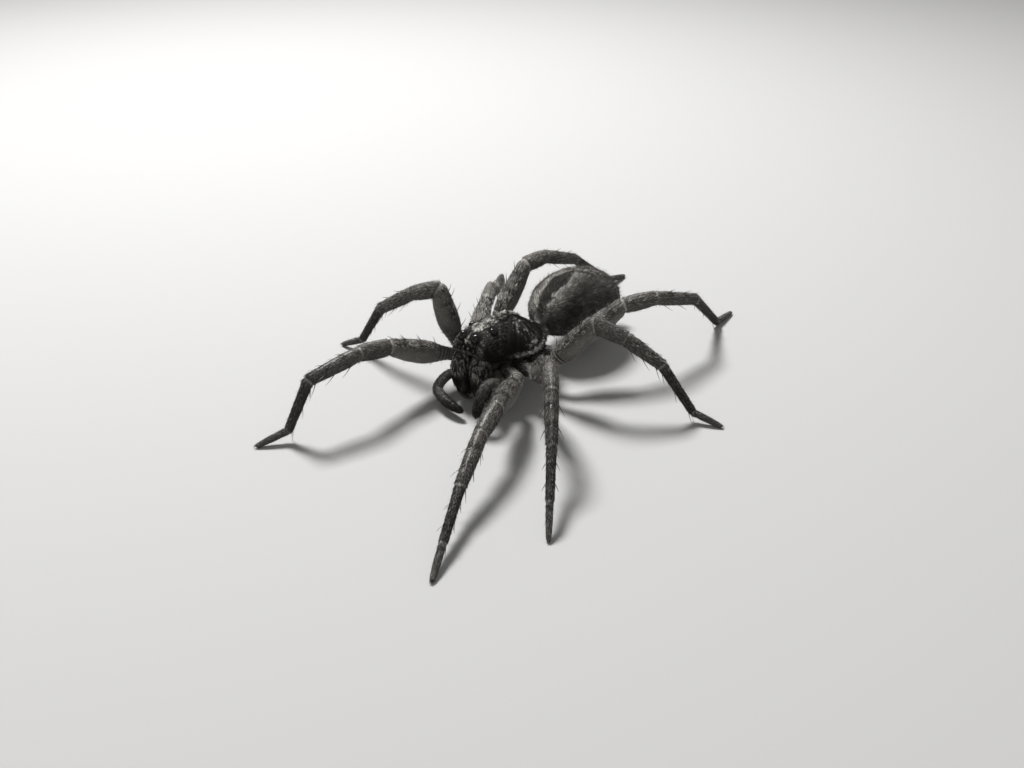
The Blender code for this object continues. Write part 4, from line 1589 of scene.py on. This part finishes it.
LEG_LENGTHS = (
    (6.4, 3.2, 4.8, 4.8, 2.8),
    (6.0, 3.0, 4.3, 4.6, 2.7),
    (5.6, 2.8, 3.8, 4.9, 2.6),
    (7.0, 3.2, 5.5, 7.4, 3.3),
)
LEG_STARTS = ((1.62, -2.12, -0.12), (1.92, -0.74, -0.16), (1.92, 0.68, -0.16), (1.62, 2.05, -0.12))
LEG_HIPS = ((3.9, -2.7, 0.0), (4.5, -1.1, 0.0), (4.5, 0.9, 0.0), (4.0, 2.8, 0.1))
LEG_POSES = {
    Side.LEFT: (
        (25.8, 9.9, -6.0, -19.9, -19.9, 7.7, -5.6),
        (51.8, 35.2, -2.4, -40.6, -42.8, -4.7, -9.5),
        (118.0, 50.0, -21.0, -32.0, -17.0, -11.0, 0.0),
        (156.0, 28.0, 1.0, -17.0, -6.0, 28.0, 0.0),
    ),
    Side.RIGHT: (
        (16.0, 22.9, 13.0, -9.0, -19.0, 27.5, -15.0),
        (36.2, 75.0, -21.2, -33.5, -25.6, 0.0, 40.8),
        (149.0, 6.0, 7.0, -28.0, -18.0, -6.0, 0.0),
        (176.0, 42.0, -6.0, -22.0, -12.0, 4.0, 0.0),
    ),
}
LEG_SCALE = (1.04, 1.0, 1.0, 1.03)
BASE_LENGTH = 2.5
THIGH_LENGTH = 6.2
TIBIA_SHARE_OF_SWING = 0.35


@dataclass
class Leg:
    """One leg in a single skin from its base to its foot, with coat, spines and claws."""

    side: Side
    number: int
    columns: int = 30
    step: float = 0.085
    flattening: float = 0.88
    sag: float = 0.12
    inset: float = 0.055
    tip_height: float = 0.17
    crowding: float = 0.72
    bend_room: tuple[float, float] = (0.665, 0.5225)
    room_limit: float = 0.42
    knuckle: tuple[float, float] = (0.5, 0.6)
    folds: tuple[float, ...] = (0.88, 1.045, 1.115, 1.185, 1.25)
    creases: tuple[tuple[float, float], ...] = ((2.0, 0.17), (3.0, 0.15), (4.0, 0.10), (5.0, 0.07))
    crease_width: float = 0.10
    swelling: float = 0.045
    swelling_gap: float = 0.26
    sole_height: float = 0.10
    dark_spots: tuple[float, ...] = (1.30, 1.55, 1.80, 3.30, 3.66)
    pale_line: tuple[float, float] = (2.04, 3.85)
    bare_line: tuple[float, float] = (2.06, 3.80)
    left_base: float = 1.0
    right_base: float = 0.6
    skin_floor: float = 0.012
    hair_floor: float = 0.004
    coat_count: int = 14500
    fine_count: int = 620
    fringe_count: int = 240
    spine_width: float = 0.075
    spine_rows: tuple[tuple[tuple[float, ...], tuple[float, ...], float, float], ...] = (
        ((1.30, 1.55, 1.80), (90.0,), 1.15, 48.0),
        ((1.42, 1.68, 1.88), (38.0, 142.0), 0.95, 40.0),
        ((2.50,), (0.0, 180.0), 0.70, 30.0),
        ((3.28, 3.66), (84.0,), 0.90, 32.0),
        ((3.32, 3.70), (8.0,), 1.20, 34.0),
        ((3.30, 3.68), (172.0,), 1.20, 34.0),
        ((3.22, 3.56, 3.93), (-62.0, -118.0), 1.35, 30.0),
        ((4.12, 4.50, 4.94), (-58.0, -122.0), 1.15, 28.0),
        ((4.30, 4.66), (12.0, 168.0), 0.95, 32.0),
    )
    first_seed: int = 100
    profile: tuple[tuple[float, float], ...] = (
        (0.0, 0.60), (0.30, 0.68), (0.62, 0.70), (0.74, 0.56), (0.97, 0.62),
        (1.03, 0.61), (1.12, 0.66), (1.26, 0.86), (1.44, 1.07), (1.74, 0.98), (1.97, 0.74),
        (2.03, 0.69), (2.30, 0.80), (2.72, 0.77), (2.97, 0.67),
        (3.03, 0.62), (3.25, 0.68), (3.70, 0.61), (3.97, 0.54),
        (4.03, 0.48), (4.45, 0.42), (4.95, 0.37),
        (5.05, 0.32), (5.55, 0.31), (5.90, 0.26), (6.0, 0.20),
    )

    def chain(self) -> Array:
        """The leg's seven joints, from inside the chest to the tip of the foot."""
        mirror, flip = self.side.value, self.side.flip
        index = self.number - 1
        joints = [STANCE.trunk(LEG_STARTS[index] * flip), STANCE.trunk(LEG_HIPS[index] * flip)]
        heading, femur, patella, tibia, tarsus, swing, knee = LEG_POSES[self.side][index]
        lengths = LEG_LENGTHS[index]
        foot_heading = heading + knee + swing
        turns = (heading, heading + knee, heading + knee + swing * TIBIA_SHARE_OF_SWING)
        for turn, rise, length in zip(turns, (femur, patella, tibia), lengths):
            joints.append(joints[-1] + direction_of(turn, rise, mirror) * length)
        last = direction_of(foot_heading, tarsus, mirror) * lengths[4]
        drop = self.tip_height - joints[-1][2] - last[2]
        rise = math.degrees(math.asin(drop / lengths[3]))
        joints.append(joints[-1] + direction_of(foot_heading, rise, mirror) * lengths[3])
        joints.append(joints[-1] + last)
        return np.array(joints)

    def middle_line(self) -> tuple[Array, Array, Array, Array]:
        """The line through the leg, rounded at its joints.

        Returns:
            Points, directions, stations, and the outward push at each joint's bend.
        """
        joints = self.chain()
        ways = unit(np.diff(joints, axis=0))
        points, directions, stations, pushes = [], [], [], []
        heights = np.array(self.profile) * np.array((1.0, LEG_SCALE[self.number - 1]))
        for part in range(6):
            length = np.linalg.norm(joints[part + 1] - joints[part])
            rows = max(int(length / self.step), 12)
            level = np.arange(rows) / rows + 0.5 / rows
            shares = level - self.crowding * np.sin(math.tau * level) / math.tau
            upward = np.cross(np.cross(ways[part], UPWARDS), ways[part])
            upward = upward / np.linalg.norm(upward)
            for share in shares:
                point = joints[part] + ways[part] * (share * length)
                way = ways[part]
                push = np.zeros(3)
                for end, after in ((part, False), (part + 1, True)):
                    if end in (0, 6):
                        continue
                    before_way, after_way = ways[end - 1], ways[end]
                    bend = math.acos(float(np.clip(before_way @ after_way, -1.0, 1.0)))
                    thick = float(np.interp(end, heights[:, 0], heights[:, 1]))
                    still, bent = self.bend_room
                    room = min(thick * (still + bend * bent), length * self.room_limit)
                    gap = length * (1.0 - share if after else share)
                    if gap >= room:
                        continue
                    along = 0.5 * (1.0 - gap / room) if after else 0.5 * (1.0 + gap / room)
                    first = joints[end] - before_way * room
                    last = joints[end] + after_way * room
                    rest = 1.0 - along
                    point = rest**2 * first + 2.0 * rest * along * joints[end] + along**2 * last
                    way = unit(rest * (joints[end] - first) + along * (last - joints[end]))
                    outward = before_way - after_way
                    if np.linalg.norm(outward) > 1e-6:
                        outward = outward / np.linalg.norm(outward)
                    reach = self.knuckle[0] * room * math.sin(bend / 2.0)
                    push = outward * reach * bell(gap, room * self.knuckle[1])
                if part == 1:
                    point = point - upward * (self.sag * math.sin(math.pi * share))
                points.append(point)
                directions.append(way)
                stations.append(part + share)
                pushes.append(push)
        return np.array(points), np.array(directions), np.array(stations), np.array(pushes)

    def shape(self) -> Tube:
        """The leg's skin, with a crease at every joint."""
        line, ways, stations, pushes = self.middle_line()
        knots = np.array(self.profile)
        thick = np.interp(stations, knots[:, 0], knots[:, 1]) * LEG_SCALE[self.number - 1]
        thick = smoothed(thick, 9, 0.7)
        lengths = np.linalg.norm(np.diff(self.chain(), axis=0), axis=-1)
        inset = self.inset * (1.0 - 0.4 * ramp(stations, 4.0, 5.0))
        thick = thick - inset
        for joint, depth in self.creases:
            gap = np.abs(stations - joint) * lengths[min(int(joint), 5)]
            beside = self.swelling * bell(gap - self.swelling_gap, self.crease_width)
            thick = thick * (1.0 - depth * bell(gap, self.crease_width) + beside)
        thick = thick * (1.0 - 0.10 * self.base_rings(stations, 0.0))
        thick = thick * (1.0 + 0.03 * self.base_rings(stations, 0.13))
        tube = tube_along(line, thick * self.flattening, thick, self.columns, stations, ways)
        offset = unit(tube.rings - line[:, None])
        facing = np.clip((offset * unit(pushes + 1e-9)[:, None]).sum(axis=-1), 0.0, 1.0)
        rings = tube.rings + pushes[:, None] * facing[..., None]
        rings[..., 2] = np.maximum(rings[..., 2], self.skin_floor)
        tip = tube.poles[1]
        tip[2] = max(tip[2], self.sole_height)
        return Tube(rings, (tube.poles[0], tip), stations)

    def base_rings(self, stations: Array, away: float) -> Array:
        """One at each fold of the soft skin where the leg begins, or at a distance from it."""
        found = np.zeros(np.shape(stations))
        for fold in self.folds:
            gap = np.abs(stations - fold) * np.where(stations < 1.0, BASE_LENGTH, THIGH_LENGTH)
            found = np.maximum(found, bell(gap - away, 0.06))
        return found

    def on_femur(self, roots: Roots) -> Array:
        """One on the femur, with smooth ends."""
        return ramp(roots.station, 1.0, 1.1) * (1.0 - ramp(roots.station, 1.9, 2.0))

    def back_line(self, roots: Roots, ends: tuple[float, float]) -> Array:
        """One on the line down the leg's back, between two stations."""
        line = ramp(self.upness(roots), 0.968, 0.988)
        return line * (roots.station > ends[0]) * (roots.station < ends[1])

    def upness(self, roots: Roots) -> Array:
        """One on the leg's back, minus one on its underside."""
        level = unit(np.cross(np.cross(roots.along, UPWARDS), roots.along))
        return (roots.normal * level).sum(axis=-1)

    def joint_gap(self, roots: Roots) -> Array:
        """How far a spot is from the nearest joint, in parts of a segment."""
        near = np.abs(roots.station - np.round(roots.station))
        return np.where((roots.station < 0.5) | (roots.station > 5.5), 1.0, near)

    def shade(self, roots: Roots) -> Array:
        """How pale the skin is."""
        station, place = roots.station, roots.place
        up = self.upness(roots)
        # The low tone at the leg's base, on the coxa under the shield, is painted shade.
        tone = np.interp(
            station, (0.0, 0.8, 1.05, 1.5, 1.9, 2.1, 2.8, 3.1, 3.8, 4.05, 4.9, 5.1, 6.0),
            (0.08, 0.30, 0.50, 0.54, 0.51, 0.45, 0.42, 0.42, 0.40, 0.30, 0.28, 0.38, 0.40),
        )
        cloud = mottle(place, 0.5, 81) - 0.5
        dorsal = ramp(up, 0.1, 0.7)
        tone = tone + 0.14 * cloud * dorsal - 0.10 * dorsal * self.on_femur(roots)
        for at in self.dark_spots:
            spot = bell(station - at, 0.045) * ramp(up, 0.35, 0.8)
            tone = tone * (1.0 - 0.6 * spot)
        tone = blend(tone, 0.64, self.back_line(roots, self.pale_line) * 0.6)
        joint = bell(self.joint_gap(roots), 0.022) * (station > 1.5)
        tone = blend(tone, 0.86, joint * 0.9)
        fold = station + 0.03 * (mottle(place, 0.6, 85) - 0.5)
        # At the folds where the leg begins, the pale rim beside each fold is a painted highlight
        # and the dark line in each fold is painted shade. Both are painted stronger on the left
        # legs than on the right.
        fold_shading = self.left_base if self.side is Side.LEFT else self.right_base
        tone = blend(tone, 0.74, self.base_rings(fold, 0.13) * 0.6 * fold_shading)
        tone = blend(tone, 0.05, self.base_rings(fold, 0.0) * fold_shading)
        # The underside is painted up to a quarter darker, as painted shade.
        return tone * (1.0 - 0.25 * ramp(-up, 0.3, 0.9))

    def gloss(self, roots: Roots) -> Array:
        """How bare the skin is: most on the femur's flanks and a streak down the back."""
        flank = self.on_femur(roots) * (1.0 - ramp(self.upness(roots), 0.45, 0.8))
        return np.clip(0.45 * flank + self.back_line(roots, self.bare_line), 0.0, 1.0)

    def density(self, roots: Roots) -> Array:
        """How dense the hairs stand."""
        up = self.upness(roots)
        station = roots.station
        femur = ramp(station, 1.0, 1.08) * (1.0 - ramp(station, 1.9, 2.0))
        dense = np.interp(
            station, (0.0, 0.7, 0.9, 1.1, 1.9, 2.1, 3.0, 3.9, 4.2, 5.0, 6.0),
            (0.25, 0.7, 1.0, 1.0, 1.1, 1.15, 1.2, 1.35, 1.7, 2.1, 2.6),
        )
        edge = 0.5 * (mottle(roots.place, 0.35, 93) - 0.5)
        bare = femur * (1.0 - ramp(up + edge, 0.0, 0.85))
        streak = self.back_line(roots, self.bare_line)
        crease = bell(self.joint_gap(roots), 0.016)
        base = ramp(station, 0.76, 0.84) * (1.0 - ramp(station, 1.24, 1.29))
        dense = dense * (1.0 - 0.84 * bare) * (1.0 - 0.85 * streak)
        return dense * (1.0 - 0.8 * crease) * (1.0 - 0.93 * base)

    def coat(self, tube: Tube, rng: np.random.Generator) -> Web:
        """Hairs that lie towards the foot."""
        roots = tube.scatter(self.coat_count, self.density, rng)
        count = len(roots.place)
        up = self.upness(roots)
        station = roots.station
        skin = self.shade(roots)
        share = np.interp(
            station, (0.8, 1.2, 3.5, 4.2, 4.9, 5.2, 6.0), (0.6, 0.55, 0.48, 0.24, 0.22, 0.38, 0.42)
        )
        pale = rng.random(count) < share
        back = ramp(up, 0.0, 0.75)
        light = blend(skin * 0.9 + 0.20, skin * 0.6 + 0.52, back)
        dusk = skin * blend(0.85, 0.62, back)
        shade = np.where(pale, light, dusk) * rng.normal(1.0, 0.2, count)
        length = np.interp(station, (0.0, 1.5, 2.5, 4.0, 4.6, 5.5, 6.0),
                           (0.32, 0.36, 0.33, 0.33, 0.31, 0.24, 0.15))
        length = length * rng.uniform(0.65, 1.3, count)
        width = np.interp(station, (0.0, 1.8, 2.3, 5.0, 6.0), (0.048, 0.046, 0.040, 0.034, 0.024))
        width = width * rng.uniform(0.8, 1.25, count)
        lift = rng.uniform(7.0, 24.0, count) + 6.0 * ramp(station, 3.5, 4.5)
        bare = self.on_femur(roots) * (1.0 - ramp(up, 0.0, 0.8))
        length = length * (1.0 - 0.45 * bare)
        lie = roots.along + rng.normal(0.0, 0.24, (count, 3))
        lie = lie + 0.25 * (mottle(roots.place, 0.6, 91)[:, None] - 0.5) * roots.around
        web = fur(roots, lie, length, width, np.radians(lift), 0.42, shade)
        return self.above_floor(web)

    def above_floor(self, web: Web) -> Web:
        """Keep hairs from reaching through the floor."""
        web.points[:, 2] = np.maximum(web.points[:, 2], self.hair_floor)
        return web

    def fine_hairs(self, tube: Tube, rng: np.random.Generator) -> Web:
        """Thin long hairs that stand off the leg, more of them on its outer parts."""

        def dense(roots: Roots) -> Array:
            """More towards the foot."""
            stations = (0.8, 1.0, 2.0, 4.0, 5.6, 6.0)
            return np.interp(roots.station, stations, (0.2, 0.5, 1.0, 1.5, 1.2, 0.3))

        count = self.fine_count
        roots = tube.scatter(count, dense, rng)
        lie = roots.along + rng.normal(0.0, 0.2, (count, 3))
        length = rng.uniform(0.35, 0.75, count)
        lift = np.radians(rng.uniform(28.0, 62.0, count))
        outer = ramp(roots.station, 3.8, 4.3)
        inner_shade = rng.choice((0.4, 0.8, 0.95), count)
        shade = blend(inner_shade, rng.choice((0.15, 0.5, 0.7), count), outer)
        web = fur(roots, lie, length, blend(0.026, 0.018, outer), lift, 0.3, shade)
        return self.above_floor(web)

    def fringe(self, tube: Tube, rng: np.random.Generator) -> Web:
        """The pale hairs round the folds at the leg's base, and on top of its knee."""

        def dense(roots: Roots) -> Array:
            """Only at the base and the knee's top."""
            knee = bell(roots.station - 1.96, 0.03) * ramp(self.upness(roots), 0.4, 0.8)
            base = bell(roots.station - 0.78, 0.04) + bell(roots.station - 1.29, 0.025)
            return base + 0.25 * bell(roots.station - 1.05, 0.08) + 0.8 * knee

        count = self.fringe_count
        roots = tube.scatter(count, dense, rng)
        lie = roots.along + rng.normal(0.0, 0.3, (count, 3))
        lift = np.radians(rng.uniform(24.0, 55.0, count))
        return fur(roots, lie, rng.uniform(0.28, 0.50, count), np.full(count, 0.034), lift, 0.35,
                   rng.uniform(0.65, 1.0, count))

    def spines(self, tube: Tube) -> Web:
        """The stout dark spines in their rows: back, both flanks, and pairs below."""
        spines = [
            (station, angle, length, lift)
            for stations, angles, length, lift in self.spine_rows
            for station, angle in itertools.product(stations, angles)
        ]
        at, wanted, length, lift = np.array(spines).T
        wanted, lift = np.radians(wanted), np.radians(lift)
        columns = tube.rings.shape[1]
        row = np.abs(tube.stations - at[:, None]).argmin(axis=1)
        offset = tube.rings[row] - tube.rings[row].mean(axis=1, keepdims=True)
        way = tube.roots.along[row].mean(axis=1)
        across = unit(np.cross(way, UPWARDS))
        upward = np.cross(across, way)
        found = np.arctan2((offset * upward[:, None]).sum(-1), (offset * across[:, None]).sum(-1))
        column = np.abs(np.angle(np.exp(1j * (found - wanted[:, None])))).argmin(axis=1) % columns
        roots = tube.roots.pick((row, column))
        count = len(spines)
        width = np.full(count, self.spine_width)
        web = SPINE.grow(roots, roots.along, length, width, lift, 0.22, np.full(count, 0.2), 1.0)
        return self.above_floor(web)

    def claws(self, tube: Tube) -> Web:
        """Two small curved claws under the tuft of the foot."""
        tip = tube.rings[-1].mean(axis=0)
        way = tube.roots.along[-1].mean(axis=0)
        flat = unit(way * np.array((1.0, 1.0, 0.0)))
        across = np.cross(flat, UPWARDS)
        webs = []
        for turn in (-1.0, 1.0):
            share = np.linspace(0.0, 1.0, 14)[:, None]
            line = tip + flat * (0.34 * share - 0.04) + across * turn * (0.07 + 0.03 * share)
            line = line + UPWARDS * (0.10 * np.sin(share * 2.4) - 0.16 * share**2)
            line[:, 2] = np.maximum(line[:, 2], 0.03)
            thick = np.interp(share[:, 0], (0.0, 0.5, 1.0), (0.045, 0.034, 0.008))
            webs.append(
                skin_of(tube_along(line, thick, thick, 8, share[:, 0]), even(0.15), even(1.0))
            )
        return Web.joined(webs)

    def build(self) -> None:
        """Make the leg."""
        tube = self.shape()
        title = f"{self.side.word}_{self.number}"
        parts = ("coxa", "femur", "patella", "tibia", "foot")
        nodes = tuple(f"{self.side.word}_leg_{self.number}_{part}" for part in parts)
        skin = skin_of(tube, self.shade, self.gloss)
        skin.piece(f"skin_leg_{title}", LEG_SKIN.material, "leg", nodes, on_trunk=False)
        rng = np.random.default_rng(self.first_seed + self.number)
        web = Web.joined([kind(tube, rng) for kind in (self.coat, self.fine_hairs, self.fringe)])
        web.piece(f"coat_leg_{title}", PELT.material, "leg", on_trunk=False)
        web = Web.joined([self.spines(tube), self.claws(tube)])
        web.piece(f"spines_leg_{title}", HORN.material, "leg", on_trunk=False)


# ---------------------------------------------------------------- palps


@dataclass
class Palp:
    """One palp: a small feeler beside the jaws, hairy to its blunt tip."""

    side: Side
    columns: int = 28
    rows: int = 110
    inset: float = 0.045
    creases: tuple[float, ...] = (1.0, 3.0, 4.0, 5.0)
    coat_count: int = 4200
    seed: int = 51
    radii: tuple[float, ...] = (0.62, 0.46, 0.46, 0.47, 0.47, 0.46, 0.30)

    def points(self) -> Array:
        """The joints of the palp in the trunk's frame."""
        if self.side is Side.LEFT:
            joints = ((1.75, -2.90, -0.35), (2.66, -3.80, -0.30), (2.98, -4.75, 0.18),
                      (3.02, -5.60, 0.26), (3.00, -6.30, -0.40), (2.92, -6.68, -1.30),
                      (2.80, -6.80, -2.10))
        else:
            joints = ((1.75, -2.90, -0.50), (2.62, -3.86, -0.95), (2.78, -5.00, -1.20),
                      (2.50, -5.94, -1.65), (1.40, -6.38, -2.00), (0.30, -6.54, -2.22),
                      (-0.80, -6.54, -2.42))
        return np.array(joints) * self.side.flip

    def shape(self) -> Tube:
        """The palp's skin."""
        line, stations = curve_through(self.points(), self.rows)
        thick = np.interp(stations, np.arange(len(self.radii)), self.radii) - self.inset
        for joint in self.creases:
            thick = thick * (1.0 - 0.10 * bell(stations - joint, 0.09))
        tip = np.maximum(stations - 5.6, 0.0) / 0.5
        thick = thick * np.sqrt(np.clip(1.0 - tip**2, 0.12, 1.0))
        return tube_along(line, thick, thick, self.columns, stations)

    def shade(self, roots: Roots) -> Array:
        """How pale the skin is: darker to the tip."""
        tone = np.interp(
            roots.station, (0.0, 2.0, 3.4, 4.2, 5.0, 6.0), (0.34, 0.42, 0.40, 0.26, 0.14, 0.10)
        )
        return tone + 0.10 * (mottle(roots.place, 0.4, 95) - 0.5)

    def build(self) -> None:
        """Make the palp."""
        tube = self.shape()
        skin = skin_of(tube, self.shade, even(0.3))
        name = f"palp_{self.side.word}"
        skin.piece(f"skin_{name}", LEG_SKIN.material, "leg", (name,))
        rng = np.random.default_rng(self.seed)
        roots = tube.scatter(self.coat_count, lambda spots: 0.7 + 0.25 * spots.station, rng)
        count = len(roots.place)
        share = np.interp(roots.station, (0.0, 3.4, 4.6, 5.5), (0.6, 0.5, 0.15, 0.06))
        pale = rng.random(count) < share
        skin_shade = self.shade(roots)
        shade = np.where(pale, skin_shade * 0.6 + 0.42, skin_shade * 0.75)
        shade = shade * rng.normal(1.0, 0.2, count)
        length = np.interp(roots.station, (0.0, 3.0, 6.0), (0.3, 0.4, 0.34))
        length = length * rng.uniform(0.7, 1.3, count)
        lie = roots.along + rng.normal(0.0, 0.24, (count, 3))
        width = rng.uniform(0.024, 0.038, count)
        lift = np.radians(rng.uniform(8.0, 30.0, count))
        coat = fur(roots, lie, length, width, lift, 0.4, shade)
        coat.piece(f"coat_{name}", PELT.material, "leg")


# ---------------------------------------------------------------- studio


@dataclass
class Studio:
    """Camera, floor and soft lights."""

    azimuth: float = 41.0
    elevation: float = 32.0
    distance: float = 83.0
    aim: tuple[float, float, float] = (0.45, 0.55, 0.0)
    field_of_view: float = 58.0
    sensor: float = 36.0
    clip_start: float = 0.001
    floor_size: float = 3.0
    floor_colour: tuple[float, float, float, float] = (0.40, 0.397, 0.390, 1.0)
    lamps: tuple[tuple[str, tuple[float, float, float], float, float], ...] = (
        ("key", (-0.14, 0.05, 0.24), 0.07, 1.5),
        ("fill", (0.22, -0.20, 0.16), 0.20, 0.14),
    )
    sky_colour: tuple[float, float, float, float] = (1.0, 1.0, 1.0, 1.0)
    sky_strength: float = 0.28
    floor_roughness: float = 0.9
    floor_specular: float = 0.1

    def camera(self) -> None:
        """Set the camera at its place round the animal."""
        back = Vector(direction_of(self.azimuth, self.elevation, 1.0))
        data = bpy.data.cameras.new("camera")
        data.sensor_width = self.sensor
        data.lens = self.sensor / 2.0 / math.tan(math.radians(self.field_of_view) / 2.0)
        data.clip_start = self.clip_start
        camera = bpy.data.objects.new("camera", data)
        aim = Vector(STANCE.metres(np.array(self.aim), False))
        camera.location = aim + back * (self.distance * MM)
        camera.rotation_euler = back.to_track_quat("Z", "Y").to_euler()
        bpy.context.scene.collection.objects.link(camera)
        bpy.context.scene.camera = camera

    def floor(self) -> None:
        """A plain pale floor."""
        bpy.ops.object.select_all(action="DESELECT")
        bpy.ops.mesh.primitive_plane_add(size=self.floor_size)
        floor = bpy.context.active_object
        floor.name = "studio_floor"
        paint = bpy.data.materials.new("studio_floor")
        paint.use_nodes = True
        feed(paint.node_tree.nodes["Principled BSDF"], {
            "Base Color": self.floor_colour, "Roughness": self.floor_roughness,
            "Specular IOR Level": self.floor_specular,
        })
        floor.data.materials.append(paint)

    def light(self) -> None:
        """The soft square lamps that face the animal."""
        for name, place, size, power in self.lamps:
            data = bpy.data.lights.new(name, "AREA")
            data.size = size
            data.energy = power
            lamp = bpy.data.objects.new(name, data)
            lamp.location = Vector(place)
            lamp.rotation_euler = Vector(place).to_track_quat("Z", "Y").to_euler()
            bpy.context.scene.collection.objects.link(lamp)

    def build(self) -> None:
        """Camera, floor, lamps and the sky's soft fill."""
        self.camera()
        self.floor()
        self.light()
        bpy.context.scene.view_settings.view_transform = "Standard"
        world = bpy.data.worlds.new("studio")
        world.use_nodes = True
        sky = world.node_tree.nodes["Background"]
        feed(sky, {"Color": self.sky_colour, "Strength": self.sky_strength})
        bpy.context.scene.world = world


def main() -> None:
    """Build the whole animal and its studio."""
    logging.basicConfig(level=logging.INFO, format="%(name)s %(message)s")
    Studio().build()
    for part in (Carapace(), Eyes(), Jaws(), Abdomen(), Underside()):
        part.build()
    for side in Side:
        Palp(side).build()
        for number in (1, 2, 3, 4):
            Leg(side, number).build()


if __name__ == "__main__":
    main()
